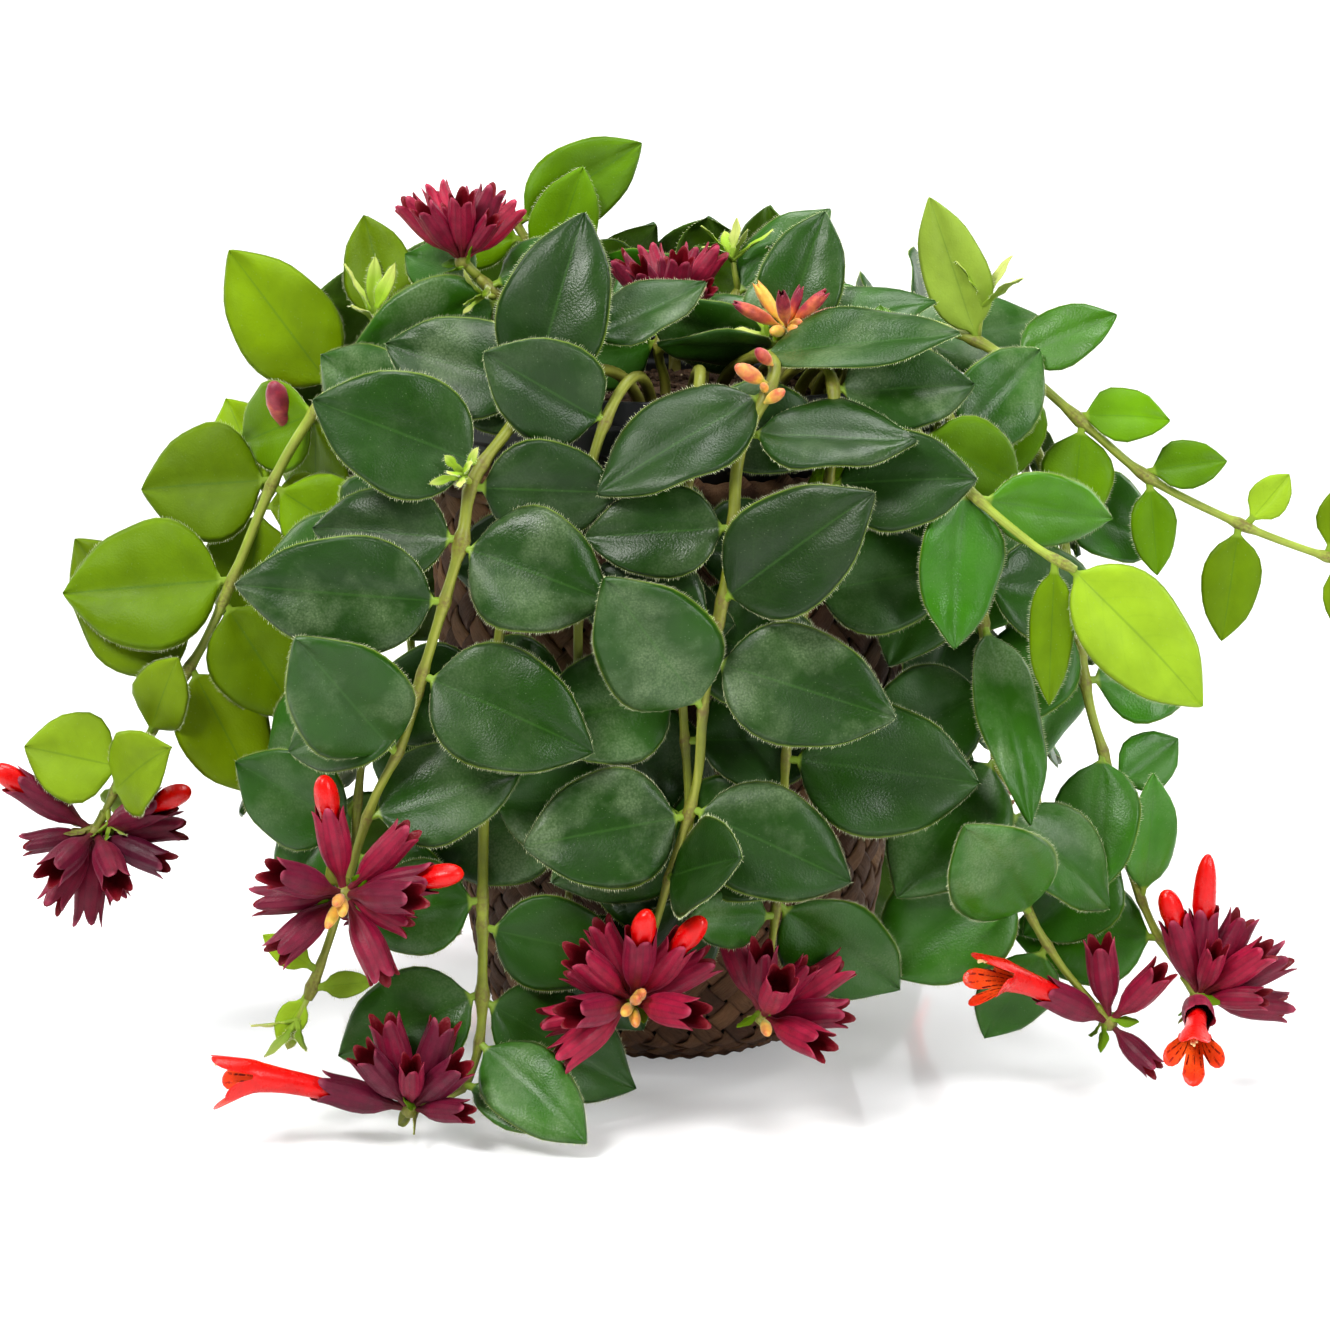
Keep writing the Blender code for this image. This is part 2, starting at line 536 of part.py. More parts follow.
def corollaMesh(root, direction, size, kind, bend):
    length = calyxLength * size
    reach = corollaReach[kind] * size
    trumpet = Trumpet(root, direction, length, Vector((0, 0, -1)), bend, reach)
    wide = calyxRadius * size
    foot, narrow = corollaFoot
    rings = ((calyxThroat * length + 1, 0), (foot * length, narrow * wide), (length + 1, tubeRadius * wide))
    if kind != "open":
        shoulder, swell = tipShoulder
        return trumpetMesh(trumpet, rings + ((length + shoulder * reach, swell * wide),), None, length + reach)
    part, flare = openFlare
    rings += ((length + part * reach, flare * wide),)
    return trumpetMesh(trumpet, rings, (length + reach, lobeRadius * wide), length + openThroat * reach)


def fanDirections(azimuth, head, avoid):
    """The directions of a head's calyces and their sizes, spread over its fan, with room round its flowers."""
    first, last = head["fan"]
    found = []
    for k in range(head["calyces"]):
        turn = first + (last - first) * k / (head["calyces"] - 1)
        direction = heading(azimuth, turn, head["leans"][k % len(head["leans"])])
        if all(direction.angle(taken) > math.radians(flowerRoom) for taken in avoid):
            found.append((direction, head["size"] * calyxSizes[k % len(calyxSizes)]))
    return found


# Making the objects

def newCollection(name):
    collection = bpy.data.collections.new(name)
    bpy.context.scene.collection.children.link(collection)
    return collection


def finish(name, colour, roughness):
    material = bpy.data.materials.new(name)
    material.use_nodes = True
    shader = material.node_tree.nodes["Principled BSDF"]
    shader.inputs["Base Color"].default_value = (*colour, 1)
    shader.inputs["Roughness"].default_value = roughness
    shader.inputs["Metallic"].default_value = 0
    return material


def meshObject(name, points, faces, collection):
    """An object of the faces, turned outwards, in metres."""
    mesh = bpy.data.meshes.new(name)
    mesh.from_pydata([p * mm for p in points], [], faces)
    shape = bmesh.new()
    shape.from_mesh(mesh)
    bmesh.ops.recalc_face_normals(shape, faces=shape.faces)
    if shape.calc_volume(signed=True) < 0:
        bmesh.ops.reverse_faces(shape, faces=shape.faces)
    shape.to_mesh(mesh)
    shape.free()
    obj = bpy.data.objects.new(name, mesh)
    collection.objects.link(obj)
    return obj


def replaceMesh(obj):
    """Applies the object's modifiers."""
    graph = bpy.context.evaluated_depsgraph_get()
    mesh = bpy.data.meshes.new_from_object(obj.evaluated_get(graph))
    obj.modifiers.clear()
    obj.data = mesh
    return obj


def curveTube(name, points, radii, collection):
    """A four-sided tube through the points, made a mesh with its caps welded."""
    curve = bpy.data.curves.new(name, "CURVE")
    curve.dimensions = "3D"
    curve.bevel_depth = mm
    curve.bevel_resolution = 0
    curve.use_fill_caps = True
    spline = curve.splines.new("POLY")
    spline.points.add(len(points) - 1)
    for target, point, radius in zip(spline.points, points, radii):
        target.co = (*(point * mm), 1)
        target.radius = radius
    guide = bpy.data.objects.new(name + "_guide", curve)
    collection.objects.link(guide)
    graph = bpy.context.evaluated_depsgraph_get()
    mesh = bpy.data.meshes.new_from_object(guide.evaluated_get(graph))
    shape = bmesh.new()
    shape.from_mesh(mesh)
    bmesh.ops.remove_doubles(shape, verts=shape.verts, dist=0.00001)
    bmesh.ops.recalc_face_normals(shape, faces=shape.faces)
    shape.to_mesh(mesh)
    shape.free()
    obj = bpy.data.objects.new(name, mesh)
    obj.matrix_world = guide.matrix_world
    collection.objects.link(obj)
    bpy.data.objects.remove(guide)
    return obj


def fuse(obj, repeats):
    """One Boolean union of the object with all the repeats that grow from it."""
    if not repeats.objects:
        bpy.data.collections.remove(repeats)
        return obj
    union = obj.modifiers.new("grown together", "BOOLEAN")
    union.operation = "UNION"
    union.operand_type = "COLLECTION"
    union.collection = repeats
    union.solver = "EXACT"
    replaceMesh(obj)
    for repeat in list(repeats.objects):
        bpy.data.objects.remove(repeat)
    bpy.data.collections.remove(repeats)
    return obj


def turned(name, profile, steps, collection):
    """A shape turned about the Z axis from a profile of (radius, height)."""
    mesh = bpy.data.meshes.new(name)
    points = [(r * mm, 0, z * mm) for r, z in profile]
    mesh.from_pydata(points, [(k, k + 1) for k in range(len(points) - 1)], [])
    obj = bpy.data.objects.new(name, mesh)
    collection.objects.link(obj)
    screw = obj.modifiers.new("turned", "SCREW")
    screw.steps = steps
    screw.render_steps = steps
    screw.use_merge_vertices = True
    screw.merge_threshold = 0.00001
    return replaceMesh(obj)


def potRadius(z):
    """Outer radius of the pot's tapered wall."""
    bottom = potTop - potHeight
    return potBottomRadius + (potShoulderRadius - potBottomRadius) * (z - bottom) / (potShoulder - bottom)


def buildBasket(collection):
    """A shell with a flat base; the wall outside is raised in a diagonal weave."""
    mouth = basketProfile[-1][1]
    profile = [(0, basketWall), (basketProfile[0][0], basketWall)]
    profile += [(r - basketWall, z + 0.8 * basketWall) for r, z in basketProfile[2:-1:3]]
    profile += [(potRadius(mouth) + gap, mouth)]
    profile += [(r, z) for r, z in reversed(basketProfile)] + [(0, 0)]
    basket = turned("basket", profile, basketSides, collection)
    heights = [z for _, z in basketProfile]
    for vertex in basket.data.vertices:
        x, y, z = vertex.co / mm
        radius = math.hypot(x, y)
        row = min(range(len(heights)), key=lambda k: abs(heights[k] - z))
        onOuter = abs(heights[row] - z) < 0.01 and abs(radius - basketProfile[row][0]) < 0.01
        if onOuter and 0 < row < len(heights) - 1:
            column = round(math.atan2(y, x) / math.tau * basketSides)
            lift = weaveRelief if (row + column) % 2 else -weaveRelief
            vertex.co.x *= 1 + lift / radius
            vertex.co.y *= 1 + lift / radius
    basket.data.materials.append(finish("bark strip weave", (0.16, 0.09, 0.045), 0.75))
    return basket


def potOutline():
    bottom = potTop - potHeight
    neck = potTop - potRimHeight
    outer = [(potRimRadius, potTop), (potRimRadius, neck), (potBandRadius, neck - potStep),
             (potBandRadius, potShoulder + potStep), (potShoulderRadius, potShoulder),
             (potBottomRadius, bottom), (0, bottom)]
    inner = [(0, bottom + potWall), (potBottomRadius - potWall, bottom + potWall),
             (potShoulderRadius - potWall, potShoulder), (potBandRadius - potWall, potShoulder + potStep),
             (potBandRadius - potWall, neck - potStep), (potRimRadius - potWall, neck),
             (potRimRadius - potWall, potTop)]
    return inner + outer


def buildPot(collection):
    pot = turned("grow_pot", potOutline(), potSides, collection)
    bottom = potTop - potHeight
    holes = newCollection("drain holes")
    for k in range(drainHoles):
        turn = math.tau * (k + 0.5) / drainHoles
        bpy.ops.mesh.primitive_cylinder_add(vertices=6, radius=drainHoleRadius * mm, depth=6 * mm)
        hole = bpy.context.object
        hole.location = (drainHoleRing * mm * math.cos(turn), drainHoleRing * mm * math.sin(turn), bottom * mm)
        for owner in list(hole.users_collection):
            owner.objects.unlink(hole)
        holes.objects.link(hole)
    bpy.context.view_layer.update()
    cut = pot.modifiers.new("drain holes", "BOOLEAN")
    cut.operation = "DIFFERENCE"
    cut.operand_type = "COLLECTION"
    cut.collection = holes
    replaceMesh(pot)
    for hole in list(holes.objects):
        bpy.data.objects.remove(hole)
    bpy.data.collections.remove(holes)
    pot.data.materials.append(finish("black moulded plastic", (0.02, 0.022, 0.025), 0.4))
    return pot


def buildSoil(collection, feet):
    """Fills the pot up to just under its rim, with a plain hole for each stem."""
    floor = potTop - potHeight + potWall + gap
    reach = potWall + 1.5 * gap
    edge = potShoulderRadius - reach
    profile = [(0, soilTop + soilHump), (0.4 * edge, soilTop + 0.75 * soilHump), (0.75 * edge, soilTop),
               (edge - 2, soilTop - soilTrench), (edge, potShoulder - 2),
               (potBottomRadius - reach, floor), (0, floor)]
    soil = turned("soil", profile, potSides, collection)
    sleeves = newCollection("stem holes")
    for x, forward, radius in feet:
        bpy.ops.mesh.primitive_cylinder_add(vertices=4, radius=(radius + stemSleeve) * mm, depth=40 * mm)
        hole = bpy.context.object
        hole.location = (x * mm, -forward * mm, (stemFoot - gap + 20) * mm)
        for owner in list(hole.users_collection):
            owner.objects.unlink(hole)
        sleeves.objects.link(hole)
    bpy.context.view_layer.update()
    cut = soil.modifiers.new("stem holes", "BOOLEAN")
    cut.operation = "DIFFERENCE"
    cut.operand_type = "COLLECTION"
    cut.collection = sleeves
    replaceMesh(soil)
    for hole in list(sleeves.objects):
        bpy.data.objects.remove(hole)
    bpy.data.collections.remove(sleeves)
    soil.data.materials.append(finish("potting soil", (0.05, 0.032, 0.02), 0.95))
    return soil


def stemPlans():
    """Every stem as (name, route, radius, face, leaves), the named ones first."""
    plans = []
    for name, stem in namedStems.items():
        x, forward = stem["foot"]
        route = [place(x, forward, stemFoot), place(x, forward, soilTop + 8)]
        route += [place(*p) for p in stem["route"]]
        leaves = [(at + footPoints, *rest) for at, *rest in stem["leaves"]]
        plans.append((name, route, stem["radius"], stem["face"], leaves))
    for number, (azimuth, low, reach) in enumerate(ruledStems, 1):
        rng = random.Random(100 + number)
        foot = outward(azimuth) * (44 if number % 2 else 54)
        route = [foot + Vector((0, 0, stemFoot)), foot + Vector((0, 0, soilTop + 8))]
        route += ruledRoute(azimuth, low, reach, rng)
        leaves = [(at + 1, *rest) for at, *rest in ruledLeaves(len(route) - 1, rng)]
        plans.append((f"back_{number}", route, ruledRadius, None, leaves))
    return plans


def headPlans(routes):
    """Every bloom head as (name, stalk start, centre, calyces as (direction, size), flowers, size)."""
    plans = []
    for name, head in heads.items():
        route, radius = routes[head["stem"]]
        end = head["at"] is None
        at = len(route) - 1 if end else head["at"] + footPoints
        where = routePoint(route, at)
        azimuth = faceAzimuth(where) if abs(faceAzimuth(where)) > 90 else 0
        stalkWay = (route[-1] - route[-2]).normalized() if end else outward(azimuth)
        thickness = radius * (1 - stemTaper * at / (len(route) - 1))
        start = where + stalkWay * (gap if end else thickness + gap)
        centre = start + stalkWay * head["stalk"]
        size = head["size"]
        widths = [stemGuard * stalkRadius, stemGuard * headCore * size]
        clearance.add(name, *tubeMesh([start, centre], widths, 6))
        flowers = [(heading(azimuth, turn, lean), kind, bend) for turn, lean, kind, bend in head["flowers"]]
        for direction, kind, bend in flowers:
            clearance.add(name, *calyxMesh(centre, direction, size))
            clearance.add(name + " corolla", *corollaMesh(centre, direction, size, kind, bend))
        calyces = []
        for direction, share in fanDirections(azimuth, head, [flower[0] for flower in flowers] + [-stalkWay]):
            if clearance.free(*calyxMesh(centre - direction, direction, share * calyxGuard), name):
                clearance.add(name, *calyxMesh(centre, direction, share))
                calyces.append((direction, share))
        plans.append((name, start, centre, calyces, flowers, size))
    return plans


def main():
    for obj in list(bpy.data.objects):
        bpy.data.objects.remove(obj)
    collection = newCollection("lipstick plant in a basket")
    basket = buildBasket(collection)
    pot = buildPot(collection)
    plans = stemPlans()
    feet = [(route[0].x, -route[0].y, radius) for _, route, radius, _, _ in plans]
    soil = buildSoil(collection, feet)
    for obj in (basket, pot, soil):
        obj.data.calc_loop_triangles()
        points = [v.co / mm for v in obj.data.vertices]
        clearance.add(obj.name, points, [tuple(t.vertices) for t in obj.data.loop_triangles])
    routes = {name: (route, radius) for name, route, radius, _, _ in plans}
    stemColour = finish("olive green stem", (0.20, 0.26, 0.06), 0.5)
    for name, route, radius, _, _ in plans:
        clearance.add(name, *tubeMesh(route[1:], stemRadii(len(route), radius * stemGuard)[1:], 6))
    headWork = headPlans(routes)
    for name, route, radius, face, leaves in plans:
        stem = curveTube("leafy_stem_" + name, route, stemRadii(len(route), radius), collection)
        repeats = newCollection(name + " leaves")
        for at, turn, length, width, lean, roll in leaves:
            last = len(route) - 1
            root = routePoint(route, min(at, last - endRoom / (route[last] - route[last - 1]).length))
            azimuth = faceAzimuth(root) if face is None else face
            shares = bladeSharesPlain if face is None or name.endswith("inner") else bladeShares
            leaf = placedLeaf(name, root, azimuth, turn, lean, roll, length, width, shares)
            if leaf:
                meshObject(name + "_leaf", *leafMesh(leaf), repeats)
        fuse(stem, repeats)
        stem.data.materials.append(stemColour)
    calyxColour = finish("burgundy calyx", (0.16, 0.01, 0.04), 0.6)
    corollaColour = finish("red corolla", (0.8, 0.03, 0.01), 0.4)
    for name, start, centre, calyces, flowers, size in headWork:
        ball = bmesh.new()
        bmesh.ops.create_icosphere(ball, subdivisions=1, radius=headCore * size * mm)
        mesh = bpy.data.meshes.new(name)
        bmesh.ops.translate(ball, verts=ball.verts, vec=centre * mm)
        ball.to_mesh(mesh)
        ball.free()
        head = bpy.data.objects.new("bloom_head_" + name, mesh)
        collection.objects.link(head)
        repeats = newCollection(name + " calyces")
        curveTube(name + "_stalk", [start, centre], [stalkRadius, stalkRadius], repeats)
        for direction, share in calyces + [(flower[0], size) for flower in flowers]:
            meshObject(name + "_calyx", *calyxMesh(centre, direction, share), repeats)
        fuse(head, repeats)
        head.data.materials.append(calyxColour)
        for number, (direction, kind, bend) in enumerate(flowers, 1):
            flower = meshObject(f"corolla_{name}_{number}", *corollaMesh(centre, direction, size, kind, bend),
                                collection)
            flower.data.materials.append(corollaColour)


main()
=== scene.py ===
import itertools
import math
import random

import bmesh
import bpy
import numpy as np
from mathutils import Matrix, Vector
from mathutils.kdtree import KDTree


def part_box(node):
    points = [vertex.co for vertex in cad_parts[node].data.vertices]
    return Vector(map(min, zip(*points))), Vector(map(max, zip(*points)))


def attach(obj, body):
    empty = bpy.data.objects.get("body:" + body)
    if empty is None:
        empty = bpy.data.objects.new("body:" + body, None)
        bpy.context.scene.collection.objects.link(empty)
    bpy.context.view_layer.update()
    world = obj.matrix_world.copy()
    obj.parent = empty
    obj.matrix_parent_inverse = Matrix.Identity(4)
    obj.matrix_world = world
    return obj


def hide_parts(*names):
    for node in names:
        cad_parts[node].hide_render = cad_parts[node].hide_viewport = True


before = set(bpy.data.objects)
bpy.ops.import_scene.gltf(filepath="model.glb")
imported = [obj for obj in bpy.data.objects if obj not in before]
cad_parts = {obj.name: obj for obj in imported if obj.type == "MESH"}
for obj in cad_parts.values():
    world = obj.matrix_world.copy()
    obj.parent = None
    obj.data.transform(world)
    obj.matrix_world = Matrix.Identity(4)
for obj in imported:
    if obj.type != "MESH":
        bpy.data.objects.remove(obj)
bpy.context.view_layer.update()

# A trailing lipstick plant in its grow pot, in a woven bark basket.
# Its stems, leaves and blooms stand where the solids have them, because the layout repeats their rules.
# Shapes are in millimetres and degrees, and meshes are scaled to metres when they are made.
mm = 0.001


# Layout: the same rules, lists and random draws as the solids have, in millimetres and degrees.
# A place is (x, forward, z), with forward towards the front, from the basket's axis and the surface.
gap = 0.3  # between neighbouring solids
tipRoom = 0.05  # a solid has its leaf or calyx where one of its corners is this near to the tip

# Soil
soilTop = 197
soilHump = 4
soilTrench = 4  # the soil's edge lies this much lower
stemFoot = 180  # how deep the stems reach into the soil

# Stem
footPoints = 2  # route points of a stem in and just above the soil, before its own
stemTaper = 0.4  # how much of its thickness a stem loses from its foot to its end

# Leaf
petiole = 4
rootDepth = 0.4  # the root starts this far behind the middle of the stem
endRoom = 2.5  # no leaf grows closer than this to a stem's end
leafArch = 0.12  # how far the tip hangs below the line of the root, as a share of the length
leafFold = 0.16  # how far the margins rise above the midrib, as a share of the half width

# Calyx and corolla
stalkRadius = 1.5
calyxLength = 29
calyxRadius = 4.5
calyxFlare = 1.16  # radius of its lobes' tips, as a share of its own
calyxSizes = (1, 0.94, 1.02, 0.76)  # shares of the head's size that its calyces take in turn
corollaReach = dict(open=29, tall=16, tip=8)  # past the calyx, of an open flower and of closed ones


def place(x, forward, z):
    return Vector((x, -forward, z))


def faceAzimuth(point):
    # azimuth of the point round the basket's axis: 0 in front, 90 to the right
    return math.degrees(math.atan2(point.x, -point.y))


def outward(azimuth):
    a = math.radians(azimuth)
    return Vector((math.sin(a), -math.cos(a), 0))


def heading(azimuth, turn, lean):
    # direction seen from outside at the azimuth: turn runs clockwise from straight up, lean comes outwards
    a, t, l = math.radians(azimuth), math.radians(turn), math.radians(lean)
    across = Vector((math.cos(a), math.sin(a), 0))
    flat = across * math.sin(t) + Vector((0, 0, 1)) * math.cos(t)
    return flat * math.cos(l) + outward(azimuth) * math.sin(l)


def solidCorners(node):
    # the corners of a node's solid, to look the nearest one up
    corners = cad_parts[node].data.vertices
    tree = KDTree(len(corners))
    for k, corner in enumerate(corners):
        tree.insert(corner.co / mm, k)
    tree.balance()
    return tree


def inSolid(corners, tips):
    return any(corners.find(tip)[2] < tipRoom for tip in tips)


# Leaves

def bladeWidth(share):
    # half width at a share of the blade, as a share of the widest: round at the base, drawn out at the tip
    return math.sin(math.pi * share ** 0.72) ** 0.78 if 0 < share < 1 else 0


class Leaf:
    # the middle surface of one leaf: where a point at a distance from the root and across the blade lies

    def __init__(self, root, azimuth, turn, lean, roll, length, width):
        self.root, self.length, self.width = root, length, width
        self.along = heading(azimuth, turn, lean)
        skyward = outward(azimuth) * math.cos(math.radians(20)) + Vector((0, 0, math.sin(math.radians(20))))
        side = self.along.cross(skyward)
        if side.length < 0.05:
            side = self.along.cross(Vector((0, 0, 1)))
        side.normalize()
        self.side = Matrix.Rotation(math.radians(roll), 3, self.along) @ side
        self.normal = self.side.cross(self.along)

    def tip(self):
        return self.root + self.along * self.length - self.normal * leafArch * self.length


def leafAlong(root, way, axis, length, width):
    # a small leaf that grows along way and faces the axis
    leaf = Leaf(root, 0, 0, 0, 0, length, width)
    leaf.along, leaf.side = way, way.cross(axis).normalized()
    leaf.normal = leaf.side.cross(way)
    return leaf


def changeCost(change):
    turn, lean, roll, size = change
    return (turn / 10) ** 2 + (lean / 10) ** 2 + (roll / 16) ** 2 + ((1 - size) * 14) ** 2


# how a leaf may be turned and drawn in to stay clear of others, the smallest change first
changes = sorted(itertools.product((0, 8, -8, 16, -16, 26, -26), (0, 7, -7, 14, -14, 22, -22, 32, 44),
                                   (0, 12, -12, 25, -25, 40, -40), (1, 0.92, 0.84, 0.76)), key=changeCost)


def placedLeaf(corners, root, azimuth, turn, lean, roll, length, width):
    # the leaf in the attitude that its solid has, or None where the solid leaves it out
    for dTurn, dLean, dRoll, size in changes:
        leaf = Leaf(root, azimuth, turn + dTurn, lean + dLean, roll + dRoll, length * size, width * size)
        if inSolid(corners, [leaf.tip()]):
            return leaf
    return None


# Stems

def routePoint(points, u):
    # a point of the route, u counted in points
    i = min(int(u), len(points) - 2)
    return points[i].lerp(points[i + 1], u - i)


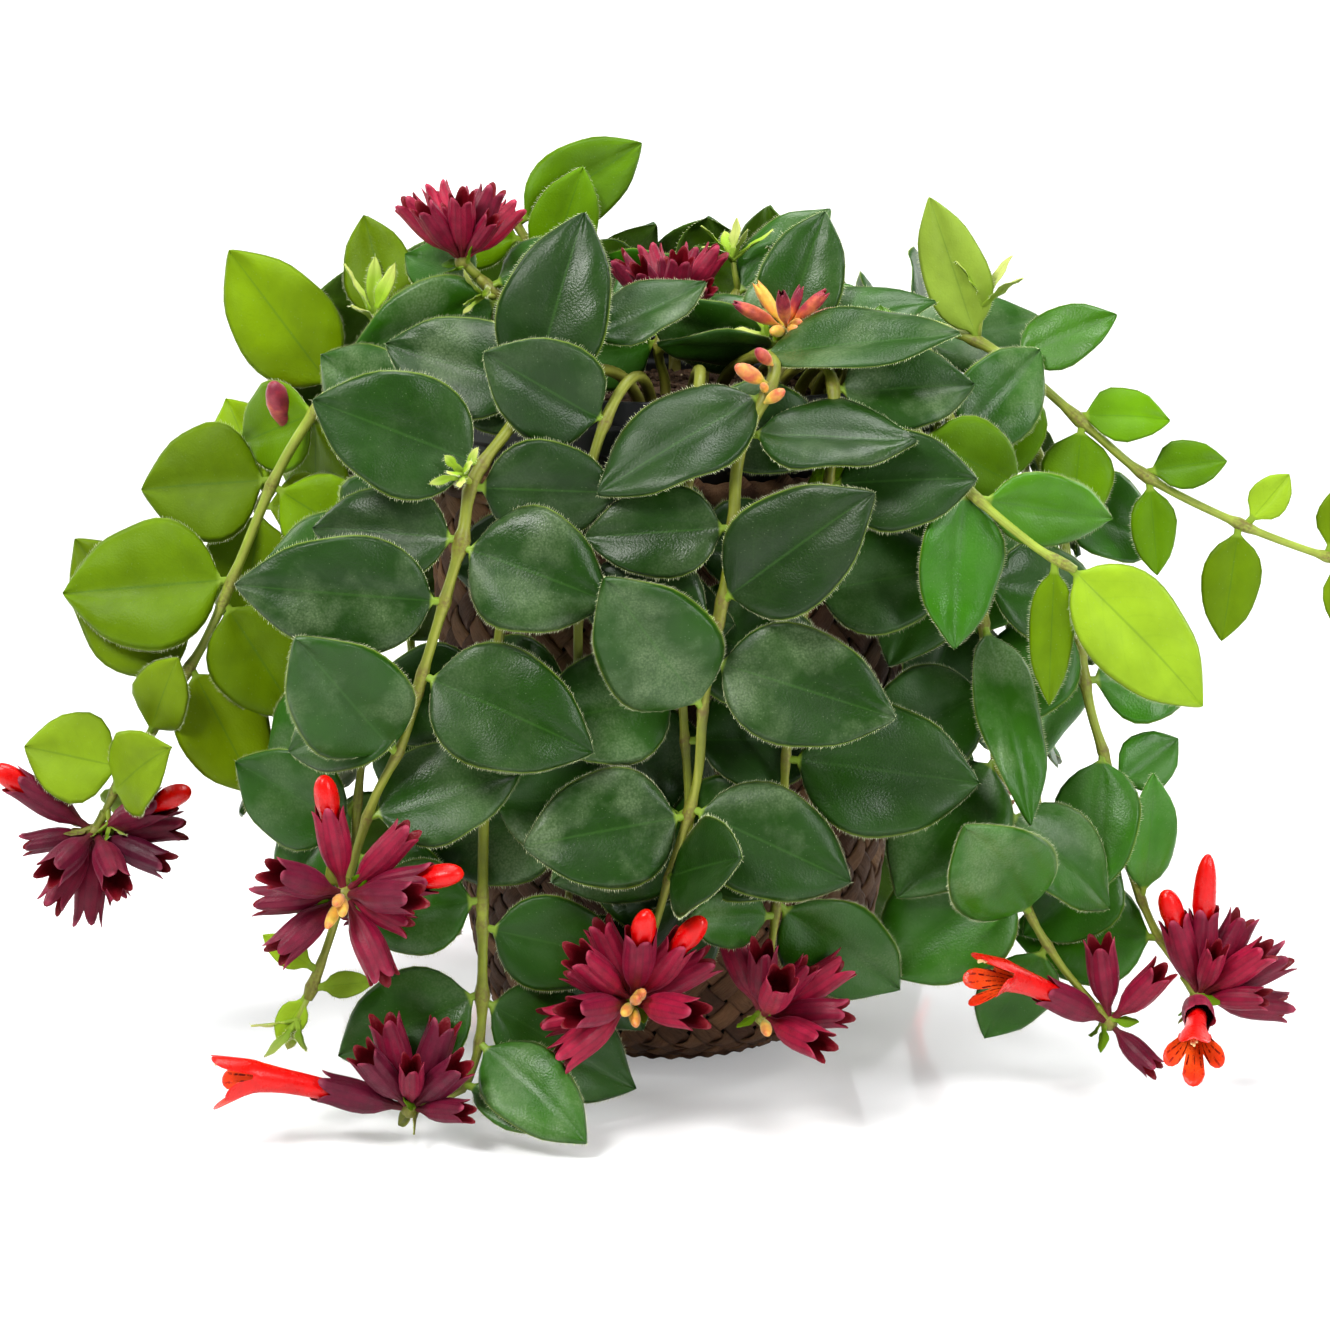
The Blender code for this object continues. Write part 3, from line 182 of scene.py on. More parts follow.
# Each named stem: its foot in the soil, the route from there, its thickness, the azimuth that its leaves
# face, and its leaves as (where on the route, turn, length, width, lean, roll), where a roll of 0 is left out.
# Route points are counted from 0.
namedStems = {
    "front_centre": dict(foot=(14, 34), radius=2.0, face=0, route=(
        (24, 60, 219), (29, 77, 217), (19, 89, 196), (17, 95, 173), (14, 98, 155), (9, 100, 127),
        (7, 98, 103), (0, 98, 78), (-9, 100, 47)), leaves=(
        (0.1, 68, 60, 30, 6, -20), (1.3, 238, 55, 31, 6), (1.8, 86, 48, 30, 14, -38), (2.9, 268, 42, 27, 4),
        (4, 49, 54, 34, 14), (4.2, 284, 42, 31, -4), (5.1, 326, 51, 35, 16), (4.6, 104, 54, 35, 14),
        (6.3, 112, 50, 33, 12), (6.4, 264, 47, 35, 16), (7.1, 30, 41, 30, 24))),
    "front_left": dict(foot=(-26, 38), radius=2.0, face=-3, route=(
        (-25, 62, 224), (-36, 77, 214), (-46, 86, 202), (-56, 91, 188), (-59, 95, 172), (-64, 98, 155),
        (-71, 100, 132), (-76, 101, 115), (-84, 100, 99), (-91, 97, 78), (-98, 98, 56),
        (-104, 101, 40)), leaves=(
        (0.1, 62, 40, 22, -10, -30), (1.4, 15, 55, 32, -6), (1.2, 287, 46, 30, -6), (2.7, 294, 51, 36, 12),
        (3.1, 84, 42, 29, -8), (4, 275, 44, 28, -4), (4.1, 106, 44, 37, 8), (5, 277, 58, 34, 16),
        (5.9, 110, 52, 36, 14), (6.2, 248, 44, 31, -8), (7.2, 327, 51, 34, 18), (8.3, 54, 44, 31, 12),
        (10.5, 310, 19, 9, 20), (10.8, 80, 18, 8, 10), (11, 215, 17, 9, 20))),
    "left_low": dict(foot=(-10, 46), radius=1.9, face=0, route=(
        (-25, 68, 215), (-40, 84, 192), (-48, 86, 150), (-53, 88, 105), (-54, 92, 72), (-54, 100, 48),
        (-55, 104, 28), (-60, 106, 15), (-67, 109, 13)), leaves=(
        (0.4, 296, 44, 28, 4), (2.4, 250, 42, 30, -6), (3.3, 96, 44, 32, -4), (4.5, 104, 42, 28, 0),
        (4.2, 262, 40, 28, -6), (5.3, 246, 46, 31, 0), (5.4, 115, 56, 32, 10), (6.0, 114, 48, 26, 16, -20),
        (6.9, 108, 44, 19, 24, -40))),
    "left": dict(foot=(-44, 12), radius=2.0, face=-15, route=(
        (-66, 18, 224), (-90, 24, 214), (-112, 28, 187), (-129, 30, 150), (-138, 30, 130), (-146, 31, 117),
        (-154, 32, 103), (-163, 32, 90), (-169, 31, 78)), leaves=(
        (1.6, 240, 40, 28, -10), (2.3, 120, 38, 26, 0), (3.1, 266, 51, 40, 14), (3.4, 148, 42, 31, -4),
        (4.9, 318, 54, 32, 2), (4.6, 150, 43, 29, 8), (6.1, 25, 30, 20, -8), (6.9, 285, 31, 28, 12),
        (7.5, 48, 35, 26, 16), (7.2, 200, 24, 16, -10))),
    "left_high": dict(foot=(-34, 0), radius=1.9, face=-10, route=(
        (-58, -2, 221), (-79, 2, 222), (-97, 6, 205), (-114, 8, 184), (-124, 8, 164)), leaves=(
        (1.2, 342, 36, 22, -10), (2.2, 324, 52, 31, 6), (2.5, 215, 38, 30, 6), (3.5, 268, 40, 37, 12),
        (3.7, 326, 37, 22, -8), (3.9, 70, 30, 20, 0), (4, 190, 42, 30, 0))),
    "right_front": dict(foot=(38, 26), radius=1.9, face=8, route=(
        (54, 56, 218), (66, 76, 203), (82, 86, 186), (102, 95, 170), (113, 98, 164)), leaves=(
        (0.8, 330, 34, 22, 0), (1.2, 118, 36, 25, 6), (1.5, 250, 40, 27, -8), (2.0, 184, 46, 26, 14),
        (2.2, 118, 42, 22, 10), (3.5, 184, 42, 13, 6, 20), (4, 134, 56, 30, 12))),
    "right_high": dict(foot=(48, 10), radius=1.9, face=5, route=(
        (66, 16, 222), (86, 26, 220), (102, 32, 211), (122, 33, 194), (140, 32, 179), (167, 30, 165),
        (187, 29, 157), (203, 28, 152)), leaves=(
        (1.2, 342, 45, 20, 4), (1.8, 62, 34, 20, 8, -20), (2.0, 196, 36, 24, 10), (2.8, 96, 28, 19, 6, -20),
        (2.9, 188, 33, 22, 12), (3.9, 78, 25, 16, 0), (4.0, 174, 29, 14, 8), (5.0, 188, 35, 18, 10),
        (5.1, 40, 20, 12, 0), (6.4, 20, 24, 15, 0), (6.5, 160, 26, 15, 8), (7, 100, 22, 14, 6))),
    "right": dict(foot=(51, -2), radius=2.0, face=15, route=(
        (66, 0, 224), (92, 14, 210), (110, 26, 180), (118, 34, 146), (123, 40, 113), (129, 42, 93),
        (134, 44, 69), (143, 46, 46), (152, 47, 32)), leaves=(
        (2.2, 120, 40, 29, 4), (2.4, 220, 46, 27, 8), (3.3, 230, 42, 28, 6), (3.5, 196, 48, 20, 8),
        (3.8, 88, 36, 29, 4), (4.7, 186, 44, 26, 10), (6.6, 4, 38, 18, 10), (6.1, 236, 38, 26, 0),
        (5.2, 60, 26, 18, -6), (7.2, 290, 44, 32, -6))),
    "front_right_low": dict(foot=(30, 40), radius=1.7, face=5, route=(
        (44, 72, 217), (45, 85, 194), (38, 86, 155), (33, 87, 115), (31, 89, 76), (27, 93, 41)), leaves=(
        (0.3, 58, 42, 28, 8), (1.2, 100, 42, 30, -4), (2.0, 80, 44, 32, 0), (2.2, 262, 40, 28, -6),
        (3.2, 97, 56, 40, 4), (3.5, 250, 42, 30, -6), (4.3, 130, 50, 30, 6), (4.4, 250, 38, 25, -4),
        (4.9, 236, 33, 21, 10), (5, 100, 32, 18, 4))),
    "right_inner": dict(foot=(44, 18), radius=1.9, face=25, route=(
        (64, 44, 219), (80, 54, 200), (88, 58, 160), (92, 62, 122), (96, 68, 90), (102, 72, 62),
        (113, 70, 42), (124, 66, 28)), leaves=(
        (1.2, 40, 40, 26, 0), (1.6, 196, 52, 32, 6), (2.2, 100, 44, 30, 4), (2.5, 178, 60, 21, 12),
        (3.0, 250, 46, 32, 0), (3.6, 206, 50, 35, 2), (4.1, 130, 44, 30, 4), (4.7, 234, 50, 38, 2),
        (5.2, 330, 50, 33, 4), (5.7, 196, 36, 24, -12))),
    "left_inner": dict(foot=(-36, 28), radius=1.9, face=-30, route=(
        (-52, 52, 220), (-68, 62, 204), (-80, 66, 170), (-86, 68, 135), (-90, 70, 100),
        (-93, 72, 70)), leaves=(
        (1.2, 300, 42, 28, 4), (1.6, 225, 42, 30, 0), (2.3, 265, 46, 32, 2), (3.4, 240, 44, 31, 4),
        (3.6, 110, 42, 30, 0), (4.3, 215, 42, 30, 4), (4.6, 285, 40, 30, 0), (4.8, 120, 40, 30, 0))),
    "front_inner": dict(foot=(-6, 54), radius=1.8, face=0, route=(
        (-12, 72, 214), (-22, 82, 194), (-26, 83, 160), (-27, 84, 125), (-28, 86, 90),
        (-30, 88, 60)), leaves=(
        (0.6, 288, 44, 30, 10), (1.5, 100, 42, 30, -8), (1.8, 262, 40, 30, -6), (2.3, 92, 44, 34, -6),
        (2.9, 262, 44, 32, -6), (3.3, 110, 48, 36, -4), (3.9, 250, 46, 34, -4), (4.4, 98, 48, 35, -4),
        (5, 150, 46, 32, -2))),
    "centre_inner": dict(foot=(6, 44), radius=1.8, face=0, route=(
        (8, 72, 215), (5, 82, 194), (3, 83, 160), (3, 84, 125), (5, 86, 92), (6, 89, 66)), leaves=(
        (0.5, 74, 44, 30, 10), (1.2, 262, 40, 28, -6), (1.8, 95, 44, 32, -6), (2.4, 100, 46, 34, -4),
        (3.0, 255, 44, 34, -6), (3.4, 100, 48, 36, -4), (4.0, 250, 44, 34, -4), (4.4, 110, 46, 34, -4),
        (4.8, 205, 44, 32, 0))),
    "top_left": dict(foot=(-28, 8), radius=1.9, face=0, route=(
        (-38, 14, 218), (-50, 18, 230), (-57, 20, 237)), leaves=(
        (1.0, 250, 46, 30, 0, -20), (1.5, 64, 34, 22, 6, -30), (2, 302, 30, 20, -10))),
    "top_left_back": dict(foot=(-22, -14), radius=1.8, face=0, route=(
        (-32, -16, 222), (-42, -18, 240), (-48, -19, 250)), leaves=(
        (0.6, 12, 34, 21, 0), (1.9, 58, 46, 25, 4), (1.3, 285, 34, 22, -4, -20))),
    "top_centre": dict(foot=(-2, 16), radius=1.8, face=0, route=(
        (-4, 20, 214), (-2, 22, 220)), leaves=(
        (0.6, 262, 36, 24, 14, -20), (0.9, 74, 38, 24, 10, -30), (1.0, 340, 26, 18, -14))),
    "top_buds": dict(foot=(26, 14), radius=1.8, face=0, route=(
        (30, 34, 214), (32, 46, 222)), leaves=(
        (0.1, 275, 42, 24, 20, -30), (0.5, 352, 26, 18, -20), (0.7, 66, 46, 25, 4, -42),
        (0.9, 268, 38, 24, 22, -40), (0.8, 34, 40, 25, -6))),
    "top_back": dict(foot=(10, -12), radius=1.8, face=0, route=(
        (14, -16, 214), (20, -18, 228)), leaves=(
        (0.6, 78, 42, 25, -10, -50), (0.9, 45, 40, 21, -10, -20), (0.7, 285, 42, 26, -6, -50))),
}

# The stems round the back and sides follow one rule: azimuth, how low they hang and how far out they stand.
ruledStems = ((96, 64, 112), (112, 118, 100), (128, 58, 108), (145, 92, 98), (162, 22, 106), (179, 104, 98),
              (196, 46, 108), (213, 92, 98), (230, 30, 106), (248, 118, 100), (262, 66, 112),
              (73, 84, 90))
ruledRadius = 1.9
routeStep = 36
nodeSpacing = 54


def ruledRoute(azimuth, low, reach, rng):
    # up from the soil, over the rim, then down outside the basket
    points = []
    for radius, z in ((62, 219), (80, 213), (reach - 8, 190), (reach - 2, 160)):
        points.append(outward(azimuth + rng.uniform(-2, 2)) * radius + Vector((0, 0, z)))
    steps = math.ceil((160 - low) / routeStep)
    for k in range(1, steps + 1):
        z = 160 - (160 - low) * k / steps
        flat = outward(azimuth + rng.uniform(-3, 3)) * (reach + rng.uniform(-2, 3))
        points.append(flat + Vector((0, 0, z)))
    return points


def ruledLeaves(count, rng):
    # one leaf over the soil, then opposite pairs along the hanging part, turned so that they face outwards
    leaves = [(0.5, rng.uniform(-40, 40), 44, 28, rng.uniform(-50, -30), 0)]
    at = 1.6
    while at < count - 1:
        swing = rng.uniform(-24, 24)
        for sign in (1, -1):
            turn = sign * rng.uniform(78, 118) + swing
            size = rng.uniform(0.86, 1.1)
            leaves.append((at, turn, 52 * size, 36 * size, rng.uniform(2, 22), rng.uniform(-12, 12)))
        at += nodeSpacing / routeStep
    leaves.append((count - 1.1, 180 + rng.uniform(-25, 25), 40, 26, 8, 0))
    return leaves


def stemPlans():
    # every stem as (name, route, radius, face, leaves), the named ones first
    plans = []
    for name, stem in namedStems.items():
        foot = stem["foot"]
        route = [place(*p) for p in ((*foot, stemFoot), (*foot, soilTop + 8), *stem["route"])]
        leaves = [(at + footPoints, *rest, 0)[:6] for at, *rest in stem["leaves"]]
        plans.append((name, route, stem["radius"], stem["face"], leaves))
    for number, (azimuth, low, reach) in enumerate(ruledStems, 1):
        rng = random.Random(100 + number)
        foot = outward(azimuth) * (44 if number % 2 else 54)
        route = [foot + Vector((0, 0, z)) for z in (stemFoot, soilTop + 8)]
        route += ruledRoute(azimuth, low, reach, rng)
        leaves = [(at + 1, *rest) for at, *rest in ruledLeaves(len(route) - 1, rng)]
        plans.append((f"back_{number}", route, ruledRadius, None, leaves))
    return plans


def grownLeaves(name, route, face, leaves):
    # the leaves that the stem's solid has, each with its place on the route
    corners = solidCorners("leafy_stem_" + name)
    last = len(route) - 1
    found = []
    for at, turn, length, width, lean, roll in leaves:
        u = min(at, last - endRoom / (route[last] - route[last - 1]).length)
        root = routePoint(route, u)
        azimuth = faceAzimuth(root) if face is None else face
        leaf = placedLeaf(corners, root, azimuth, turn, lean, roll, length, width)
        if leaf:
            found.append((u, leaf))
    return found


# Bloom heads: the stem that carries each, where on its route (None for its end), its stalk, the fan in which
# its calyces stand as (first turn, last turn), how many they are, how far they lean out in turn, their size,
# and the flowers in it as (turn, lean, kind, bend), where kind is open, tall or tip.
heads = {
    "left_front": dict(stem="front_left", at=9.2, stalk=12, fan=(232, 510), calyces=9, leans=(24, 4, 40, 14),
                       size=0.98, flowers=((352, 8, "tip", 0), (76, 14, "tip", 0))),
    "centre_front": dict(stem="front_centre", at=None, stalk=8, fan=(238, 460), calyces=12,
                         leans=(30, 6, 52, 4), size=1.0, flowers=((8, 30, "tip", 0), (36, 20, "tip", 0))),
    "right_of_centre": dict(stem="front_right_low", at=None, stalk=8, fan=(338, 480), calyces=8,
                            leans=(-8, 20, 50, 8), size=0.98, flowers=()),
    "floor_left": dict(stem="left_low", at=None, stalk=8, fan=(308, 440), calyces=8, leans=(-4, 24, 0, 34),
                       size=1.0, flowers=((286, 8, "open", 12),)),
    "far_left": dict(stem="left", at=None, stalk=7, fan=(84, 288), calyces=9, leans=(4, 24, 60, 10), size=0.98,
                     flowers=((62, 20, "tip", 0), (305, 5, "tip", 0))),
    "far_right": dict(stem="right", at=None, stalk=8, fan=(322, 458), calyces=9, leans=(-6, 20, 0, 30),
                      size=1.0, flowers=((2, 4, "tall", 0), (342, 10, "tip", 0), (286, 82, "open", 12))),
    "top_left": dict(stem="top_left", at=None, stalk=6, fan=(316, 406), calyces=9, leans=(0, 26, -24),
                     size=0.85, flowers=()),
    "top_centre": dict(stem="top_centre", at=None, stalk=6, fan=(314, 408), calyces=8, leans=(0, 28, -24),
                       size=0.8, flowers=()),
    "young_buds": dict(stem="top_buds", at=None, stalk=6, fan=(300, 430), calyces=6, leans=(20, 0, 48, 10),
                       size=0.62, flowers=()),
    "right_low": dict(stem="right_inner", at=None, stalk=7, fan=(352, 540), calyces=5, leans=(12, 24, 6, 30),
                      size=0.98, flowers=((304, 30, "open", 16),)),
    "back_right": dict(stem="back_3", at=None, stalk=7, fan=(250, 470), calyces=7, leans=(26, 4, 44, 10),
                       size=0.98, flowers=((120, 20, "open", 12),)),
    "back_left": dict(stem="back_9", at=None, stalk=7, fan=(240, 460), calyces=7, leans=(30, 6, 46, 8),
                      size=0.95, flowers=((285, 20, "open", 10),)),
}
flowerRoom = 26  # no other calyx stands within this angle of a flower
headCore = 4.2


class Trumpet:
    # the bent axis of a calyx or corolla

    def __init__(self, root, direction, straight=0, bendTo=Vector((0, 0, 1)), bendAngle=0, bentLength=1):
        self.root, self.direction, self.straight = root, direction, straight
        side = direction.cross(bendTo)
        self.side = side.normalized() if side.length > 0.01 else direction.orthogonal().normalized()
        self.bend = self.side.cross(direction)
        self.curve = math.radians(bendAngle) / bentLength

    def points(self, distance, radius, turn):
        # points round the axis, where all three are rows of the same size
        a = self.curve * np.clip(distance - self.straight, 0, None)
        direction, bend, side = (np.array(v) for v in (self.direction, self.bend, self.side))
        if abs(self.curve) < 1e-6:
            forward, sideways = distance, np.zeros_like(distance)
        else:
            forward = np.minimum(distance, self.straight) + np.sin(a) / self.curve
            sideways = (1 - np.cos(a)) / self.curve
        middle = np.array(self.root) + direction * forward[..., None] + bend * sideways[..., None]
        ahead = direction * np.cos(a)[..., None] + bend * np.sin(a)[..., None]
        across = np.cross(np.broadcast_to(side, ahead.shape), ahead)
        circle = across * np.cos(turn)[..., None] + side * np.sin(turn)[..., None]
        return middle + circle * radius[..., None]


def lobeTips(root, direction, size):
    # the tips of a calyx's five lobes
    turns = math.tau * (np.arange(5) + 0.5) / 5
    return Trumpet(root, direction).points(np.full(5, calyxLength * size),
                                           np.full(5, calyxFlare * calyxRadius * size), turns)


def fanCalyces(azimuth, head, centre, avoid, corners):
    # the calyces of a head as (direction, size), spread over its fan, with room round its flowers
    first, last = head["fan"]
    found = []
    for k in range(head["calyces"]):
        turn = first + (last - first) * k / (head["calyces"] - 1)
        direction = heading(azimuth, turn, head["leans"][k % len(head["leans"])])
        size = head["size"] * calyxSizes[k % len(calyxSizes)]
        open_ = all(direction.angle(taken) > math.radians(flowerRoom) for taken in avoid)
        if open_ and inSolid(corners, lobeTips(centre, direction, size)):
            found.append((direction, size))
    return found


def headPlans(routes):
    # every bloom head as (name, stalk start, centre, calyces, flowers, size)
    plans = []
    for name, head in heads.items():
        route, radius = routes[head["stem"]]
        end = head["at"] is None
        at = len(route) - 1 if end else head["at"] + footPoints
        where = routePoint(route, at)
        azimuth = faceAzimuth(where) if abs(faceAzimuth(where)) > 90 else 0
        stalkWay = (route[-1] - route[-2]).normalized() if end else outward(azimuth)
        thickness = radius * (1 - stemTaper * at / (len(route) - 1))
        start = where + stalkWay * (gap if end else thickness + gap)
        centre = start + stalkWay * head["stalk"]
        flowers = [(heading(azimuth, turn, lean), kind, bend) for turn, lean, kind, bend in head["flowers"]]
        calyces = fanCalyces(azimuth, head, centre, [flower[0] for flower in flowers] + [-stalkWay],
                             solidCorners("bloom_head_" + name))
        plans.append((name, start, centre, calyces, flowers, head["size"]))
    return plans


# Tools for node trees

def tint(r, g, b):
    # an 8-bit screen colour as the linear colour that a shader takes
    return tuple(((c / 255 + 0.055) / 1.055) ** 2.4 if c > 10 else c / 255 / 12.92 for c in (r, g, b)) + (1,)


class Graph:
    # a node tree, with short calls for the nodes it uses most; a colour is a socket or an 8-bit screen colour

    def __init__(self, tree):
        self.tree = tree

    def feed(self, socket, value):
        # links a socket to the input, or sets the input's own value
        if isinstance(value, bpy.types.NodeSocket):
            self.tree.links.new(value, socket)
        else:
            socket.default_value = value

    def node(self, kind, inputs=None, **settings):
        made = self.tree.nodes.new(kind)
        for name, value in settings.items():
            setattr(made, name, value)
        for name, value in (inputs or {}).items():
            self.feed(made.inputs[name], value)
        return made

    def out(self, kind, inputs=None, **settings):
        return self.node(kind, inputs, **settings).outputs[0]

    def math(self, operation, *values):
        return self.out("ShaderNodeMath", dict(enumerate(values)), operation=operation)

    def times(self, first, second):
        return self.math("MULTIPLY", first, second)

    def scale(self, vector, factor):
        return self.out("ShaderNodeVectorMath", {0: vector, "Scale": factor}, operation="SCALE")

    def remap(self, value, low, high, fromLow=0, fromHigh=1):
        return self.out("ShaderNodeMapRange", {0: value, 1: fromLow, 2: fromHigh, 3: low, 4: high})

    def noise(self, vector, scale, detail=3, rough=0.55, distortion=0):
        return self.out("ShaderNodeTexNoise", {"Vector": vector, "Scale": scale, "Detail": detail,
                                               "Roughness": rough, "Distortion": distortion})

    def mix(self, factor, *colours):
        first, second = (tint(*c) if isinstance(c, tuple) else c for c in colours)
        return self.node("ShaderNodeMix", {0: factor, 6: first, 7: second}, data_type="RGBA").outputs[2]

    def ramp(self, value, stops):
        made = self.node("ShaderNodeValToRGB", {0: value})
        elements = made.color_ramp.elements
        while len(elements) < len(stops):
            elements.new(0.5)
        for element, (position, colour) in zip(elements, stops):
            element.position = position
            element.color = tint(*colour)
        return made.outputs[0]


class Effect(Graph):
    # a shader group with one output and named inputs: Colour and Vector tell their kind, the others are numbers

    def __init__(self, name, output, **inputs):
        super().__init__(bpy.data.node_groups.new(name, "ShaderNodeTree"))
        for label, default in inputs.items():
            kind = dict(Colour="Color", Vector="Vector").get(label, "Float")
            socket = self.tree.interface.new_socket(label, in_out="INPUT", socket_type="NodeSocket" + kind)
            if default is not None:
                socket.default_value = default
        kind = "NodeSocketColor" if output == "Colour" else "NodeSocketFloat"
        self.tree.interface.new_socket(output, in_out="OUTPUT", socket_type=kind)
        self.given = self.tree.nodes.new("NodeGroupInput").outputs

    def close(self, value):
        self.feed(self.tree.nodes.new("NodeGroupOutput").inputs[0], value)
        return self.tree


class Finish(Graph):
    # a material in the making: constants go on its shader, patterns read the piece's Object coordinates

    def __init__(self, name, gloss=None, **settings):
        self.material = bpy.data.materials.new(name)
        self.material.use_nodes = True
        super().__init__(self.material.node_tree)
        self.shader = self.tree.nodes["Principled BSDF"].inputs
        if gloss is not None:
            self.shader["Specular IOR Level"].default_value = gloss
        for label, value in settings.items():
            self.shader[label.replace("_", " ")].default_value = value
        self.at = self.node("ShaderNodeTexCoord").outputs["Object"]

    def value(self, name):
        return self.node("ShaderNodeAttribute", attribute_name=name, attribute_type="GEOMETRY").outputs["Fac"]

    def uv(self):
        split = self.node("ShaderNodeSeparateXYZ", {0: self.out("ShaderNodeUVMap", uv_map="surface")})
        return split.outputs[0], split.outputs[1]

    def use(self, group, **inputs):
        return self.out("ShaderNodeGroup", dict(inputs, Vector=self.at), node_tree=group)

    def mottled(self, colour, scale, spread):
        colour = tint(*colour) if isinstance(colour, tuple) else colour
        return self.use(mottle, Colour=colour, Scale=scale, Spread=spread)

    def grained(self, scale, cells):
        return self.use(grain, Scale=scale, Cells=cells)

    def patches(self, scale, low, high, fromLow=0.3, fromHigh=0.7, detail=3, rough=0.55):
        return self.remap(self.noise(self.at, scale, detail, rough), low, high, fromLow, fromHigh)

    def waves(self, value, count):
        return self.math("COSINE", self.times(value, count * math.tau))

    def close(self, colour, rough=None, height=None, strength=0, depth=0):
        self.feed(self.shader["Base Color"], colour)
        if rough is not None:
            self.feed(self.shader["Roughness"], rough)
        if height is not None:
            bump = self.out("ShaderNodeBump", {"Height": height, "Strength": strength, "Distance": depth})
            self.feed(self.shader["Normal"], bump)
        return self.material


class Repeat(Graph):
    # a Geometry Nodes tree with named inputs, which ends in Realize Instances and Set Material

    def __init__(self, name, **inputs):
        super().__init__(bpy.data.node_groups.new(name, "GeometryNodeTree"))
        face = self.tree.interface
        for label, kind in dict(Geometry="Geometry", **inputs, Seed="Int", Material="Material").items():
            face.new_socket(label, in_out="INPUT", socket_type="NodeSocket" + kind)
        face.new_socket("Geometry", in_out="OUTPUT", socket_type="NodeSocketGeometry")
        self.given = self.tree.nodes.new("NodeGroupInput").outputs

    def chance(self, low, high):
        # a random number for each element, or a random vector where low is one
        first, kind = (0, "FLOAT_VECTOR") if isinstance(low, tuple) else (2, "FLOAT")
        made = self.node("FunctionNodeRandomValue", {first: low, first + 1: high, "Seed": self.given["Seed"]},
                         data_type=kind)
        return made.outputs[first // 2]

    def close(self, copies):
        real = self.out("GeometryNodeRealizeInstances", {0: copies})
        painted = self.out("GeometryNodeSetMaterial", {"Geometry": real, "Material": self.given["Material"]})
        self.feed(self.tree.nodes.new("NodeGroupOutput").inputs[0], painted)
        return self

    def grow(self, obj, **values):
        # sets the inputs by identifier, and keeps the result as the object's plain mesh
        modifier = obj.modifiers.new(self.tree.name, "NODES")
        modifier.node_group = self.tree
        for item in self.tree.interface.items_tree:
            if item.in_out == "INPUT" and item.name in values:
                modifier[item.identifier] = values[item.name]
        graph = bpy.context.evaluated_depsgraph_get()
        mesh = bpy.data.meshes.new_from_object(obj.evaluated_get(graph))
        obj.modifiers.remove(modifier)
        obj.data = mesh
        return obj


# Tools for meshes

def addObject(name, data):
    obj = bpy.data.objects.new(name, data)
    bpy.context.scene.collection.objects.link(obj)
    return obj


def finishPiece(piece, slot, *nodes):
    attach(piece, "root")
    if nodes:
        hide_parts(*nodes)
    return piece


class Pile:
    # meshes in millimetres gathered into one object, with a UV map and the point values named in channels

    def __init__(self, *channels):
        self.points, self.faces, self.uvs, self.kinds = [], [], [], []
        self.values = {name: [] for name in channels}
        self.count = 0

    def add(self, points, faces, uv=None, kind=0, **values):
        # a face is a row of four corners, of which two are the same in a triangle
        points = np.asarray(points, float)
        a, b, c, d = points[faces].transpose(1, 0, 2)
        volume = sum(np.einsum("ij,ij->i", a, np.cross(*pair)).sum() for pair in ((b, c), (c, d)))
        self.points.append(points)
        self.faces.append((faces[:, ::-1] if volume < 0 else faces) + self.count)
        self.uvs.append(np.zeros((len(points), 2)) if uv is None else uv)
        self.kinds.append(np.full(len(faces), kind))
        for name, stored in self.values.items():
            stored.append(np.broadcast_to(np.asarray(values.get(name, 0), float), (len(points),)))
        self.count += len(points)

    def build(self, name, *materials, smooth=True):
        mesh = bpy.data.meshes.new(name)
        rows = [list(dict.fromkeys(row)) for row in np.concatenate(self.faces).tolist()]
        mesh.from_pydata((np.concatenate(self.points) * mm).tolist(), [], rows)
        mesh.polygons.foreach_set("material_index", np.concatenate(self.kinds).astype(np.int32))
        mesh.polygons.foreach_set("use_smooth", np.full(len(rows), smooth))
        corners = np.empty(len(mesh.loops), np.int32)
        mesh.loops.foreach_get("vertex_index", corners)
        layer = mesh.uv_layers.new(name="surface")
        layer.data.foreach_set("uv", np.concatenate(self.uvs)[corners].ravel().astype(np.float32))
        for label, stored in self.values.items():
            attribute = mesh.attributes.new(label, "FLOAT", "POINT")
            attribute.data.foreach_set("value", np.concatenate(stored).astype(np.float32))
        for material in materials:
            mesh.materials.append(finishes[material])
        return addObject(name, mesh)


def ringFaces(rows, columns):
    # quads between closed rings of points
    i, j = np.meshgrid(np.arange(rows - 1), np.arange(columns), indexing="ij")
    a, b = i * columns + j, i * columns + (j + 1) % columns
    return np.stack([a, b, b + columns, a + columns], -1).reshape(-1, 4)


def closedFaces(rows, columns):
    # the same, closed by the two points that come after the rings
    ring = np.arange(columns)
    after, tip, last = np.roll(ring, -1), np.full(columns, rows * columns), (rows - 1) * columns
    return np.concatenate([ringFaces(rows, columns), np.stack([tip, tip, after, ring], -1),
                           np.stack([last + ring, last + after, tip + 1, tip + 1], -1)])


def ringUv(along, around, first, last):
    # a UV for each point of the rings and for the two that close them
    grid = np.stack([np.repeat(along, len(around)), np.tile(around, len(along))], -1)
    return np.concatenate([grid, [first, last]])


def unit(rows):
    return rows / np.linalg.norm(rows, axis=1, keepdims=True)


